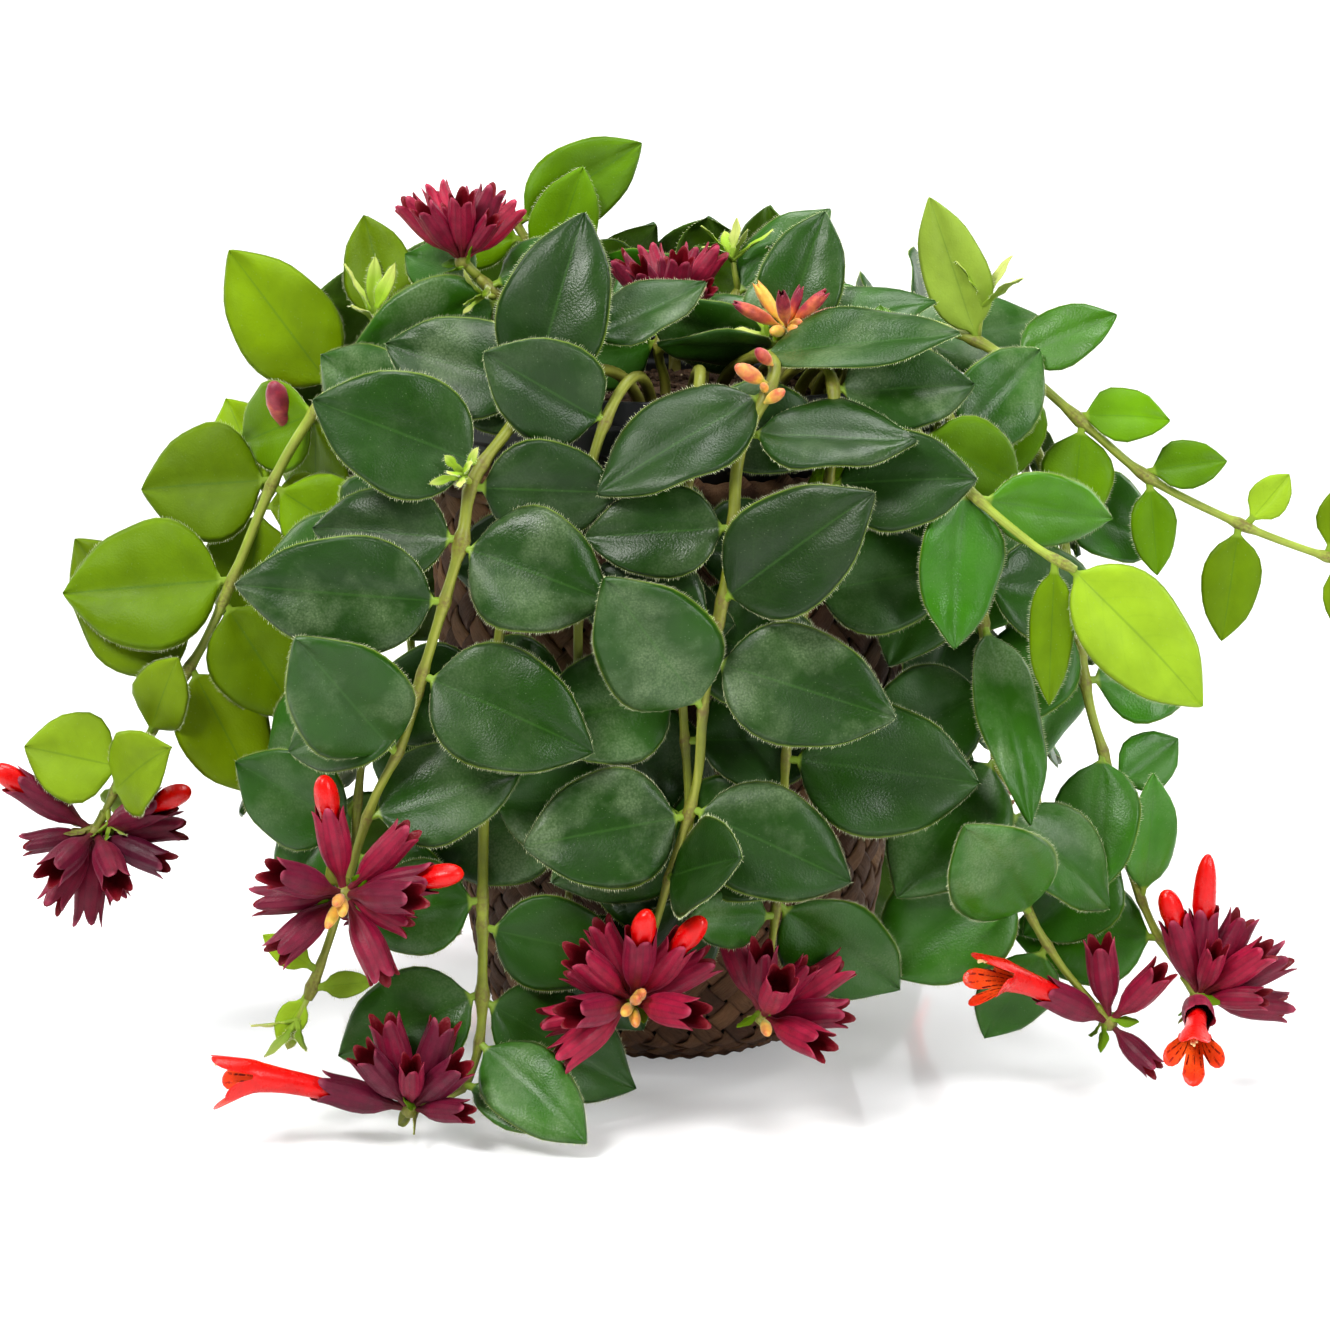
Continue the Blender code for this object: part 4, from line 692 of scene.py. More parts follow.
def sweep(path, radii, sides=8, ridge=0):
    # a round-ended tube along the path: points, faces and a UV that runs along and around
    path = np.asarray([tuple(p) for p in path], float)
    ahead = unit(np.gradient(path, axis=0))
    across = unit(np.cross(ahead, (0, 0, 1) + ahead[:, [1, 2, 0]] * 1e-3))
    other = np.cross(ahead, across)
    turns = (np.arange(sides) * math.tau / sides)[:, None]
    radii = np.broadcast_to(np.asarray(radii, float), (len(path),))
    circle = across[:, None] * np.cos(turns) + other[:, None] * np.sin(turns)
    rings = path[:, None] + circle * (radii[:, None] * (1 + ridge * np.cos(2 * turns[:, 0]) ** 3))[..., None]
    points = np.concatenate([rings.reshape(-1, 3), path[:1] - ahead[:1] * radii[0] * 0.4,
                             path[-1:] + ahead[-1:] * radii[-1] * 0.4])
    count = len(path)
    uv = ringUv(np.arange(count) / (count - 1), np.arange(sides) / sides, (0, 0), (1, 0))
    return points, closedFaces(count, sides), uv


# Studio: a high soft white set, seen through a long lens from a little above

studio = dict(
    lens=125,  # mm on a 36 mm sensor
    distance=1.4,  # m from the aim
    elevation=12,  # degrees above the level
    aim=(-0.002, 0, 0.116),
    floorSize=14,
    floorColour=(0.86, 0.865, 0.875),
    floorGloss=0.1,  # roughness
    floorGlow=(0.29, 1.0),  # how far the picture lifts the floor towards white, near the plant and far off
    floorReach=(0.7, 2.6),  # m from the plant where it starts to rise, and where it is full
    wallStrength=1.0,  # the lit white wall behind the plant
    roomStrength=0.16,  # the dimmer room on the other sides
    wallEdge=(0.1, 0.7),  # where the room turns into the wall, as a direction's way back
    wallTop=(0.5, 0.25),  # and its way up
    lights=(  # name, place, size, power, colour
        ("keySoftbox", (-0.9, -1.2, 1.6), (0.6, 0.6), 42, (1, 0.99, 0.97)),
        ("fillSoftbox", (1.5, -1.2, 0.9), (0.6, 0.9), 24, (0.98, 0.99, 1)),
        ("topSoftbox", (0.1, 0.1, 1.8), (0.9, 0.9), 30, (1, 1, 1)),
        ("leftRim", (-1.4, 1.0, 0.8), (0.8, 1.2), 12, (1, 1, 0.97)),
        ("rightRim", (1.4, 1.1, 0.8), (0.8, 1.2), 16, (1, 1, 0.98)),
    ),
)


def buildStudio():
    aim, tilt, scene = Vector(studio["aim"]), math.radians(studio["elevation"]), bpy.context.scene
    lens = bpy.data.cameras.new("photoCamera")
    lens.lens, lens.sensor_width = studio["lens"], 36
    scene.camera = addObject("photoCamera", lens)
    scene.camera.location = aim + Vector((0, -math.cos(tilt), math.sin(tilt))) * studio["distance"]
    scene.camera.rotation_euler = (math.pi / 2 - tilt, 0, 0)
    for name, spot, size, power, colour in studio["lights"]:
        light = bpy.data.lights.new(name, "AREA")
        light.shape = "RECTANGLE"
        light.size, light.size_y = size
        light.energy, light.color = power, colour
        lamp = addObject(name, light)
        lamp.location = spot
        lamp.rotation_euler = (aim - Vector(spot)).to_track_quat("-Z", "Y").to_euler()
    scene.world = bpy.data.worlds.new("whiteStudio")
    scene.world.use_nodes = True
    sky = Graph(scene.world.node_tree)
    way = sky.node("ShaderNodeSeparateXYZ", {0: sky.node("ShaderNodeTexCoord").outputs["Generated"]}).outputs
    wall = sky.times(sky.remap(way[1], 0, 1, *studio["wallEdge"]),
                     sky.remap(way[2], 0, 1, *studio["wallTop"]))
    seen = sky.math("MAXIMUM", wall, sky.node("ShaderNodeLightPath").outputs["Is Camera Ray"])
    background = sky.tree.nodes["Background"].inputs
    sky.feed(background["Color"], (1, 1, 1, 1))
    sky.feed(background["Strength"], sky.remap(seen, studio["roomStrength"], studio["wallStrength"]))
    scene.view_settings.view_transform = "Standard"
    bpy.ops.mesh.primitive_plane_add(size=studio["floorSize"])
    floor = bpy.context.object
    floor.name = "studioFloor"
    white = Finish("glossWhiteBoard", Roughness=studio["floorGloss"], Emission_Color=(1, 1, 1, 1))
    away = white.node("ShaderNodeVectorMath", {0: white.at}, operation="LENGTH").outputs["Value"]
    glow = white.times(white.node("ShaderNodeLightPath").outputs["Is Camera Ray"],
                       white.remap(away, *studio["floorGlow"], *studio["floorReach"]))
    white.feed(white.shader["Emission Strength"], glow)
    floor.data.materials.append(white.close((*studio["floorColour"], 1)))
    print("studio: camera, floor and", len(studio["lights"]), "soft lights")


# Shared effects: patches of light and dark, fine height of rounded cells and loose grain, and scattered dots

group = Effect("mottle", "Colour", Colour=None, Vector=None, Scale=60, Spread=0.2)
given = group.given
darkest, palest = (group.math(way, 1.0, given["Spread"]) for way in ("SUBTRACT", "ADD"))
shade = group.remap(group.noise(given["Vector"], given["Scale"]), darkest, palest, 0.3, 0.7)
mottle = group.close(group.scale(given["Colour"], shade))

group = Effect("grain", "Height", Vector=None, Scale=900, Cells=0.5)
given = group.given
cells = group.out("ShaderNodeTexVoronoi", {"Vector": given["Vector"], "Scale": given["Scale"]})
loose = group.noise(given["Vector"], given["Scale"], 2)
rounder = group.math("SUBTRACT", group.math("SUBTRACT", 1.0, cells), loose)
grain = group.close(group.math("MULTIPLY_ADD", rounder, given["Cells"], loose))

group = Effect("specks", "Mask", Vector=None, Scale=500, Size=0.2, Share=0.5)
given = group.given
cells = group.node("ShaderNodeTexVoronoi", {"Vector": given["Vector"], "Scale": given["Scale"]}).outputs
chance = group.out("ShaderNodeSeparateColor", {0: cells["Color"]})
specks = group.close(group.times(group.math("LESS_THAN", cells["Distance"], given["Size"]),
                                 group.math("LESS_THAN", chance, given["Share"])))


# Materials

leafFinish = dict(
    tones=((0, (18, 46, 3)), (0.25, (36, 82, 3)), (0.42, (50, 112, 2)), (0.55, (84, 126, 0)),
           (0.78, (110, 136, 0)), (0.93, (140, 174, 44)), (1, (196, 206, 112))),
    sheenAndSpecks=(150, 172, 128),  # painted sheen: whitish highlight patches on the dark leaves; also the colour of the pale specks
    paintedSheenShare=0.42,
    underside=(88, 124, 20),
    underShare=0.6,
    # pale margin line: partly the pale margin hairs' colour, partly painted rim light
    rim=(128, 156, 52),
    rib=(58, 100, 34),
    stalk=(122, 150, 44),
    ribWidth=0.035,  # share of the half width
    marginAndRimLightWidth=0.032,
    laterals=7.0,  # pairs of side veins
    lateralSlope=0.34,  # how far towards the tip they run before the margin, as a share of the length
)


def leafMaterial(name, gloss):
    m, look = Finish(name, gloss), leafFinish
    tone, under, seed = m.value("tone"), m.value("under"), m.value("seed")
    along, across = m.uv()
    off = m.math("ABSOLUTE", m.math("MULTIPLY_ADD", across, 2.0, -1.0))
    body = m.ramp(tone, look["tones"])
    body = m.mix(under, body, m.mix(look["underShare"], body, look["underside"]))
    body = m.mottled(m.scale(body, m.remap(seed, 0.72, 1.24)), 70, 0.16)
    fine = m.grained(1500, 0.5)
    # painted sheen: dark leaves get whitish, grainy highlight patches in their colour, more on some than on
    # others
    paintedSheen = m.patches(52, 0, 1, 0.455, 0.66, 4)
    for value, limits in ((seed, (0.12, 1, 0.2, 0.95)), (fine, (0.35, 1, 0.3, 0.75)),
                          (tone, (1, 0, 0.3, 0.5))):
        paintedSheen = m.times(paintedSheen, m.remap(value, *limits))
    # side veins curve from the midrib towards the tip
    lift = m.times(m.math("POWER", off, 1.4), look["lateralSlope"])
    phase = m.math("FRACT", m.times(m.math("SUBTRACT", along, lift), look["laterals"]))
    vein = m.remap(m.math("ABSOLUTE", m.math("SUBTRACT", phase, 0.5)), 1, 0, 0.0, 0.09)
    vein = m.times(vein, m.remap(off, 1, 0, 0.55, 0.9))
    rib, rim = look["ribWidth"], look["marginAndRimLightWidth"]
    for mask, share, colour in (
            # the first mask paints a whitish sheen highlight on the dark leaves; the specks are the leaf's own
            # pale dots
            (paintedSheen, look["paintedSheenShare"], "sheenAndSpecks"), (vein, 0.05, "rib"),
            (m.remap(off, 1, 0, 0.25 * rib, rib), 0.3, "rib"),
            (m.use(specks, Scale=900, Size=0.14, Share=0.3), 0.16, "sheenAndSpecks"),
            # a pale line along the margin: partly the hairs' colour, partly painted rim light
            (m.remap(off, 0, 1, 1 - rim, 1 - 0.3 * rim), 0.7, "rim")):
        body = m.mix(m.times(mask, share), body, look[colour])
    body = m.mix(m.remap(along, 1, 0, 0.0, 0.04), body, look["stalk"])
    rough = m.math("MULTIPLY_ADD", under, 0.12, m.patches(45, 0.3, 0.48, 0.35, 0.65, 4))
    rough = m.math("ADD", rough, m.remap(tone, 0, 0.12, 0.45, 0.62))
    return m.close(body, rough, m.math("MULTIPLY_ADD", vein, -0.12, fine), 0.42, 0.00024)


stemFinish = dict(tones=((0, (104, 90, 42)), (0.3, (116, 124, 30)), (1, (140, 160, 50))),
                  ridge=(162, 164, 72), scar=(96, 70, 40))


def stemMaterial():
    m = Finish("oliveStem", 0.4)
    body = m.mottled(m.ramp(m.value("tone"), stemFinish["tones"]), 160, 0.2)
    ridge = m.remap(m.waves(m.uv()[1], 2), 0, 1, 0.55, 1)
    body = m.mix(m.times(ridge, 0.5), body, stemFinish["ridge"])
    body = m.mix(m.times(m.value("under"), m.patches(900, 0.2, 0.9, 0.4, 0.6)), body, stemFinish["scar"])
    return m.close(body, m.patches(300, 0.42, 0.62), m.grained(1200, 0.3), 0.35, 0.0002)


calyxFinish = dict(
    wine=((0, (74, 4, 34)), (0.5, (124, 5, 43)), (1, (174, 10, 54))),
    # edge is a painted pinkish velvet highlight near the lobes' ends
    line=(74, 4, 34), inside=(116, 2, 20), foot=(112, 54, 48), edge=(214, 84, 116), sheen=(255, 130, 170),
    young=((0, (170, 178, 60)), (0.3, (228, 184, 70)), (0.6, (212, 104, 66)), (0.85, (158, 36, 56)),
           (1, (126, 14, 46))),
)


def calyxMaterial():
    m = Finish("velvetCalyx", 0.3, Sheen_Weight=0.12, Sheen_Roughness=0.35,
               Sheen_Tint=tint(*calyxFinish["sheen"]))
    along, around = m.uv()
    body = m.ramp(m.value("seed"), calyxFinish["wine"])
    body = m.mix(m.times(m.remap(along, 1, 0, 0.05, 0.3), 0.6), body, calyxFinish["foot"])
    body = m.mottled(body, 260, 0.26)
    # fine lines run from the foot to the lobes
    line = m.waves(around, 15)
    # painted highlight: pinkish patches near the lobes' ends stand in for the velvet's sheen
    edge = m.times(m.remap(along, 0, 1, 0.9, 0.99), m.patches(500, 0.1, 0.6, 0, 1))
    for mask, colour in ((m.remap(line, 0, 0.3, 0.3, 1), "line"), (edge, "edge"),
                         (m.value("under"), "inside")):
        body = m.mix(mask, body, calyxFinish[colour])
    height = m.math("MULTIPLY_ADD", line, 0.35, m.grained(2200, 0.6))
    return m.close(body, m.patches(400, 0.42, 0.62), height, 0.55, 0.0002)


def youngCalyxMaterial():
    m = Finish("youngCalyx", Sheen_Weight=0.25, Sheen_Roughness=0.4)
    blush = m.math("MULTIPLY_ADD", m.value("seed"), 0.55, m.times(m.uv()[0], 0.5))
    blush = m.math("ADD", blush, m.patches(180, -0.22, 0.22))
    body = m.mottled(m.ramp(blush, calyxFinish["young"]), 300, 0.15)
    return m.close(body, m.patches(400, 0.4, 0.6), m.grained(2200, 0.6), 0.5, 0.0002)


corollaFinish = dict(
    scarlet=(206, 0, 2), vermilion=(230, 16, 4), stripe=(104, 6, 10), stamen=(246, 214, 150),
    lobe=((0.5, (252, 186, 60)), (0.72, (246, 110, 36)), (0.9, (240, 62, 22)), (1, (226, 26, 12))),
)


def corollaMaterial():
    m, look = Finish("scarletPetal", 0.35), corollaFinish
    inside = m.value("under")
    along, around = m.uv()
    body = m.mottled(m.mix(m.remap(along, 0, 1, 0.35, 1), look["scarlet"], look["vermilion"]), 220, 0.12)
    # the inside is yellow in the throat and orange on the lobes, with rows of dark red spots
    body = m.mix(inside, body, m.ramp(along, look["lobe"]))
    fade = m.times(inside, m.remap(along, 1, 0, 0.86, 0.98))
    dark = m.times(m.remap(m.waves(around, 19), 0, 1, 0.5, 0.8), fade)
    body = m.mix(m.times(dark, m.patches(700, 0, 1, 0.42, 0.52)), body, look["stripe"])
    body = m.mix(m.math("GREATER_THAN", m.value("seed"), 1.5), body, look["stamen"])
    return m.close(body, m.patches(300, 0.22, 0.38), m.grained(1900, 0.6), 0.4, 0.0002)


potFinish = dict(body=(26, 28, 33), scuff=(70, 74, 82), dust=(96, 84, 66))


def potMaterial():
    m = Finish("blackMouldedPlastic", 0.5)
    body = m.mottled(potFinish["body"], 90, 0.2)
    body = m.mix(m.times(m.patches(130, 0, 1, 0.58, 0.74, 6, 0.7), 0.25), body, potFinish["scuff"])
    body = m.mix(m.times(m.use(specks, Scale=380, Size=0.18, Share=0.25), 0.4), body, potFinish["dust"])
    return m.close(body, m.patches(60, 0.28, 0.5, detail=4), m.grained(1400, 0.2), 0.2, 0.0002)


barkFinish = dict(strips=((0, (44, 27, 18)), (0.4, (84, 55, 35)), (0.75, (128, 91, 60)), (1, (168, 131, 92))),
                  dark=(34, 22, 16), liner=(24, 17, 13))


def barkMaterial():
    m = Finish("barkStrip", 0.3)
    along, around = m.uv()
    seed = m.value("seed")
    stretched = m.out("ShaderNodeCombineXYZ", {0: m.times(along, 18.0), 1: m.times(around, 26.0), 2: seed})
    fibre = m.noise(stretched, 1.6, 5, 0.65, 0.4)
    shade = m.math("SUBTRACT", m.math("MULTIPLY_ADD", seed, 0.5, m.times(fibre, 0.75)), 0.12)
    body = m.mottled(m.ramp(shade, barkFinish["strips"]), 120, 0.25)
    body = m.mix(m.times(m.remap(fibre, 1, 0, 0.3, 0.42), 0.75), body, barkFinish["dark"])
    height = m.math("MULTIPLY_ADD", fibre, 1.6, m.grained(900, 0.2))
    return m.close(body, m.remap(fibre, 0.86, 0.62, 0.3, 0.7), height, 0.7, 0.0005)


def linerMaterial():
    m = Finish("darkLiner", Roughness=0.95)
    return m.close(m.mottled(barkFinish["liner"], 150, 0.4), None, m.grained(700, 0.3), 0.6, 0.0005)


soilFinish = dict(peat=(44, 30, 22), crumb=(78, 56, 38), light=(150, 132, 104))


def soilMaterial():
    m = Finish("peatSoil", 0.2)
    patch = m.noise(m.at, 420, 5, 0.7)
    body = m.mix(m.remap(patch, 0, 1, 0.4, 0.66), soilFinish["peat"], soilFinish["crumb"])
    body = m.mix(m.use(specks, Scale=330, Size=0.2, Share=0.14), body, soilFinish["light"])
    return m.close(body, m.remap(patch, 0.98, 0.78, 0.3, 0.7), m.grained(600, 0.5), 0.9, 0.0012)


hairTint = (206, 214, 164)


def hairMaterial():
    m = Finish("marginHair", Roughness=0.5)
    return m.close(m.mottled(hairTint, 400, 0.2))


finishes = dict(
    leaf=leafMaterial("waxyLeaf", 0.28), lime=leafMaterial("limeLeaf", 0.1), stem=stemMaterial(),
    calyx=calyxMaterial(), young=youngCalyxMaterial(), corolla=corollaMaterial(), pot=potMaterial(),
    bark=barkMaterial(), liner=linerMaterial(), soil=soilMaterial(), hair=hairMaterial(),
)
print("materials:", len(finishes))


# Foliage: fine blades on the layout's leaves, with smooth stems

foliage = dict(
    stepAlong=2.6,  # mm between rows of a blade
    columns=13,  # points across one face of a blade
    thick=1.05,  # through a blade's middle
    thin=0.42,  # beside the rounded margin
    dome=0.035,  # how far each half bulges, as a share of the half width
    swells=(0.32, 3.1),  # height of the soft swells between the side veins, and how many there are
    crown=(1.3, 0.6),  # how much steeper each half leaves the midrib, and how soon it levels out
    belly=(0.13, 0.78, 0.15),  # how much fuller the blade is towards its tip, where and how far
    fullSize=40,  # mm; a shorter leaf is thinner in proportion
    margin=14,  # how late the margin rounds off: higher is later
    ease=6,  # mm past its stalk in which a leaf is drawn to the smooth stem
    groove=0.26,  # how deep the midrib lies
    keel=0.55,  # how far the rib stands out below
    ribWidth=0.9,  # mm
    droop=(-0.25, 0.3, 0.9),  # how far the margins turn up or down, at least and at most, and its strength
    wave=0.026,  # how far the margins wave, as a share of the length
    curl=(-0.075, 0.05),  # how far a tip may bend down or up, as a share of the length
    stalkRound=1.15,  # radius of the leaf stalk
    stemStep=3.2,
    stemSides=9,
    swelling=0.38,  # how much thicker a stem is at a node
    nodeReach=2.6,
)

# How dark or young each stem's leaves are, from its foot to its tip: 0 is the darkest and 1 is new growth. The
# yellow-green tones of the left and left_high stems also paint the light that shines through those leaves from
# behind.
foliageTones = {
    "front_centre": (0.05, 0.05), "front_left": (0.03, 0.16), "left_low": (0.05, 0.35), "left": (0.6, 0.84),
    "left_high": (0.66, 0.74), "right_front": (0.36, 0.87), "right_high": (0.4, 0.74), "right": (0.3, 0.42),
    "front_right_low": (0.08, 0.22), "right_inner": (0.16, 0.34), "left_inner": (0.08, 0.2),
    "front_inner": (0.05, 0.15), "centre_inner": (0.05, 0.15), "top_left": (0.2, 0.2),
    "top_left_back": (0.66, 0.52), "top_centre": (0.15, 0.3), "top_buds": (0.15, 0.22),
    "top_back": (0.25, 0.25),
}
ruledTones = (0.1, 0.34)
# Leaves with a tone of their own, by stem and place on its route
leafTones = {("right_high", 1.2): 0.94, ("right_high", 1.8): 0.45, ("right_front", 3.5): 0.66,
             ("right_front", 2.0): 0.4, ("right_front", 2.2): 0.46, ("top_centre", 1.0): 0.6,
             ("top_left", 2.0): 0.66}
goldenAngle = 137.5
limeFrom = 0.5  # a leaf younger than this is thin and less glossy
youngLeaf = 24  # a leaf shorter than this, in mm, is new growth
stalkRows = (-rootDepth, 0.5, 1.8, 3.2)  # mm along a leaf's stalk

# Lime sprigs of new growth: the stem, where on its route, the way each points, its length and its leaves.
sprigs = (
    ("front_left", 5.05, (330, 50), 15, 6), ("left_high", 3.6, (10, 20), 26, 6),
    ("top_back", 3.0, (350, 0), 22, 6), ("right_high", 3.2, (8, 0), 24, 4),
    ("front_left", 12.9, (205, 20), 20, 4), ("top_buds", 2.4, (330, 30), 16, 4),
    ("top_left", 3.1, (280, 40), 15, 4), ("right_high", 8.9, (75, 10), 18, 5),
    ("left", 9.9, (170, 20), 12, 4),
)

# Single buds beside the leaves: the stem, where on its route, the way each points, its length and redness.
loneBuds = (
    ("front_centre", 3.2, (305, 35), 15, 0.35), ("front_centre", 3.45, (50, 40), 11, 0.2),
    ("front_centre", 3.3, (340, 60), 8, 0.1), ("front_centre", 2.9, (320, 45), 12, 0.6),
    ("left_high", 3.3, (78, 48), 21, 1.0), ("left_high", 4.9, (345, 35), 25, 1.0),
)


def smoothRoute(points, step):
    # a smooth curve through the route's points, a point every step; also where on the route each one is
    rows, where = [], []
    last = len(points) - 1
    for i in range(last):
        a, b = points[i], points[i + 1]
        before, after = points[max(i - 1, 0)], points[min(i + 2, last)]
        span = (b - a).length
        leave = (b - before).normalized() * span
        arrive = (after - a).normalized() * span
        count = max(2, round(span / step))
        for k in range(count + (i == last - 1)):
            t = k / count
            square, cube = t ** 2, t ** 3
            h = (2 * cube - 3 * square + 1, cube - 2 * square + t, -2 * cube + 3 * square, cube - square)
            rows.append(a * h[0] + leave * h[1] + b * h[2] + arrive * h[3])
            where.append(i + t)
    return rows, np.array(where)


def onCurve(rows, where, u):
    return Vector([float(np.interp(u, where, line)) for line in zip(*rows)])


def clamp(value):
    return min(max(value, 0), 1)


def addBlade(pile, leaf, shift, tone, rng, streak=0.0):
    # one closed blade with its stalk, from the smooth stem; rows run along the leaf, columns across
    columns, half = foliage["columns"], leaf.width / 2
    size = min(1, leaf.length / foliage["fullSize"])
    up, down, turned = foliage["droop"]
    phase, beat, droop = rng.uniform(0, math.tau), rng.uniform(1.1, 1.9), rng.uniform(up, down)
    curl = rng.uniform(*foliage["curl"]) * leaf.length
    span = leaf.length - petiole
    count = max(9, round(span / foliage["stepAlong"]))
    shares = 0.5 - 0.5 * np.cos(np.pi * (np.arange(1, count + 1) / (count + 0.35)) ** 0.9)
    distance = np.concatenate([stalkRows, petiole + span * shares])[:, None]
    share = np.clip((distance - petiole) / span, 0, 1)
    blade = np.clip(share / 0.1, 0, 1)  # how far the stalk has turned into the blade
    wide = half * np.array([bladeWidth(s) for s in share[:, 0]])[:, None]
    fuller, place, reach = foliage["belly"]
    wide = wide * (1 + fuller * np.exp(-((share - place) / reach) ** 2))
    wide = np.maximum(wide, foliage["stalkRound"] * (1 - share ** 0.5))
    even = np.linspace(-1, 1, columns)
    t = 0.45 * np.sin(even * math.pi / 2) + 0.55 * even
    off = np.abs(t)
    # half the thickness, and the heights that are added to the middle surface
    flat = (foliage["thick"] * size / 2) * (1 - off ** 3) + foliage["thin"] * size / 2 * off ** 3
    flat = flat * np.sqrt(np.clip(1 - off ** foliage["margin"], 0, 1))
    roundStalk = foliage["stalkRound"] * size ** 0.5 * np.sqrt(np.clip(1 - off ** 2, 0, 1))
    body = flat * blade + roundStalk * (1 - blade)
    rib = np.exp(-(off * np.maximum(wide, 1) / foliage["ribWidth"]) ** 2) * blade * (1 - share ** 3)
    dome = foliage["dome"] * half * 4 * off * (1 - off ** 1.5) * blade
    turnDown = -turned * droop * np.clip(off - 0.6, 0, 1) ** 2 * half * blade
    ripple = foliage["wave"] * leaf.length * np.sin(phase + beat * math.tau * share) * off ** 2
    ripple = ripple * blade * np.clip(wide / max(half, 1), 0, 1)
    height, number = foliage["swells"]
    swell = height * size * np.sin(phase * 3 + math.tau * number * beat / 1.5 * (share - 0.35 * off))
    swell = swell * 4 * off * (1 - off) * blade * np.where(t < 0, -1, 1)
    across = wide * t
    fold = leafFold * np.abs(across) * (foliage["crown"][0] - foliage["crown"][1] * off)
    bend = leafArch * leaf.length * (np.clip(distance, 0, None) / leaf.length) ** 2
    bend = bend - curl * (np.clip(share - 0.5, 0, 1) * 2) ** 2
    middle = fold - bend + dome + turnDown + ripple + swell
    root, ahead, side, normal, shift = (
        np.array(v) for v in (leaf.root, leaf.along, leaf.side, leaf.normal, shift))
    line = root + ahead * distance + shift * np.clip(1 - distance / (petiole + foliage["ease"]), 0, 1) ** 1.5
    top, low = (line[:, None] + side * across[..., None]
                + normal * (middle + face * body - foliage[cut] * rib * size)[..., None]
                for face, cut in ((1, "groove"), (-1, "keel")))
    start = root + shift - ahead * rootDepth
    tip = np.array(leaf.tip()) + normal * (0.1 + curl)
    rows, ring = len(distance), 2 * columns - 2
    points = np.concatenate([np.concatenate([top, low[:, -2:0:-1]], 1).reshape(-1, 3), [start, tip]])
    u = np.where(distance < petiole, (distance - petiole) * 0.02, 0.03 + 0.97 * share)[:, 0]
    uv = ringUv(u, 0.5 + 0.5 * np.concatenate([t, t[-2:0:-1]]), (-0.1, 0.5), (1, 0.5))
    under = np.append(np.tile(np.repeat((0, 1), (columns, columns - 2)), rows), (0, 0))
    tones = tone + streak * (np.append(np.repeat(share, ring), (0, 1)) - 0.4)
    pile.add(points, closedFaces(rows, ring), uv, 3 if tone > limeFrom else 1, tone=np.clip(tones, 0, 1),
             under=under, seed=rng.random())
    first, second, centre = (top[4:, column] for column in (0, -1, columns // 2))
    margin = np.concatenate([first, [tip], second[::-1]])
    return margin, margin - np.concatenate([centre, [tip - ahead], centre[::-1]])


def addStem(pile, rows, where, route, radius, nodes, tone):
    radii = radius * (1 - stemTaper * where / (len(route) - 1))
    path, scar, sides = np.array([tuple(p) for p in rows]), np.zeros(len(rows)), foliage["stemSides"]
    for u in nodes:
        away = np.linalg.norm(path - np.array(onCurve(rows, where, u)), axis=1)
        near = np.exp(-(away / foliage["nodeReach"]) ** 2)
        radii = radii * (1 + foliage["swelling"] * near)
        scar = np.maximum(scar, near)
    shade = tone[0] + (tone[1] - tone[0]) * where / where[-1]
    young = np.clip(0.25 + 0.9 * shade, 0, 1) * np.clip(where / 2.5, 0.15, 1)
    pile.add(*sweep(rows, radii, sides, 0.09), 0, tone=np.append(np.repeat(young, sides), young[[0, -1]]),
             under=np.append(np.repeat(scar * 0.8, sides), (0, 0)), seed=0.5)


sprigShape = dict(
    stem=0.45,  # share of its length
    radii=(1.1, 0.9, 0.7),
    tilts=(18, 50),  # degrees that the first leaf leans out, and how much more the last one
    jitter=12,
    leaves=(0.5, 0.8, 0.2),  # their lengths, at least and at most, and width, as shares of the sprig's length
    tones=(0.9, 1),
)


def addSprig(pile, base, direction, length, count, rng):
    # a short shoot whose narrow leaves open round its tip
    look, (shortest, longest, width), jitter = sprigShape, sprigShape["leaves"], sprigShape["jitter"]
    tipPoint = base + direction * length * look["stem"]
    pile.add(*sweep([base, base.lerp(tipPoint, 0.5), tipPoint], look["radii"], 7), 0, tone=0.9, seed=0.5)
    margins = []
    across = direction.orthogonal().normalized()
    other = direction.cross(across)
    for k in range(count):
        turn = math.radians(goldenAngle * k + rng.uniform(-jitter, jitter))
        tilt = math.radians(look["tilts"][0] + look["tilts"][1] * k / count)
        way = direction * math.cos(tilt) + (across * math.cos(turn) + other * math.sin(turn)) * math.sin(tilt)
        size = length * rng.uniform(shortest, longest)
        leaf = leafAlong(tipPoint - direction * 0.8, way, direction, size, length * width)
        margins.append(addBlade(pile, leaf, Vector(), rng.uniform(*look["tones"]), rng, 0.1))
    return margins


hairs = dict(spacing=0.65, farSpacing=1.7, length=0.95, radius=0.085, seed=7)  # mm; farSpacing at the back


def buildHairTree():
    # tapered hairs along the blades' margins, pointing away from the midrib
    tree = Repeat("marginHairs", Spacing="Float", Length="Float", Radius="Float")
    given = tree.given
    curve = tree.out("GeometryNodeMeshToCurve", {"Mesh": given["Geometry"]})
    spots = tree.out("GeometryNodeResampleCurve", {"Curve": curve, "Length": given["Spacing"]}, mode="LENGTH")
    away = tree.out("GeometryNodeInputNamedAttribute", {"Name": "away"}, data_type="FLOAT_VECTOR")
    jitter = tree.chance((-0.35,) * 3, (0.35,) * 3)
    aim = tree.out("ShaderNodeVectorMath", {0: away, 1: jitter}, operation="ADD")
    turned = tree.out("FunctionNodeAlignRotationToVector", {"Vector": aim}, axis="Z")
    cone = tree.out("GeometryNodeMeshCone", {
        "Vertices": 3, "Radius Top": 0.0, "Radius Bottom": given["Radius"], "Depth": given["Length"],
    }, fill_type="NGON")
    return tree.close(tree.out("GeometryNodeInstanceOnPoints", {
        "Points": spots, "Instance": cone, "Rotation": turned, "Scale": tree.chance(0.55, 1.25)}))


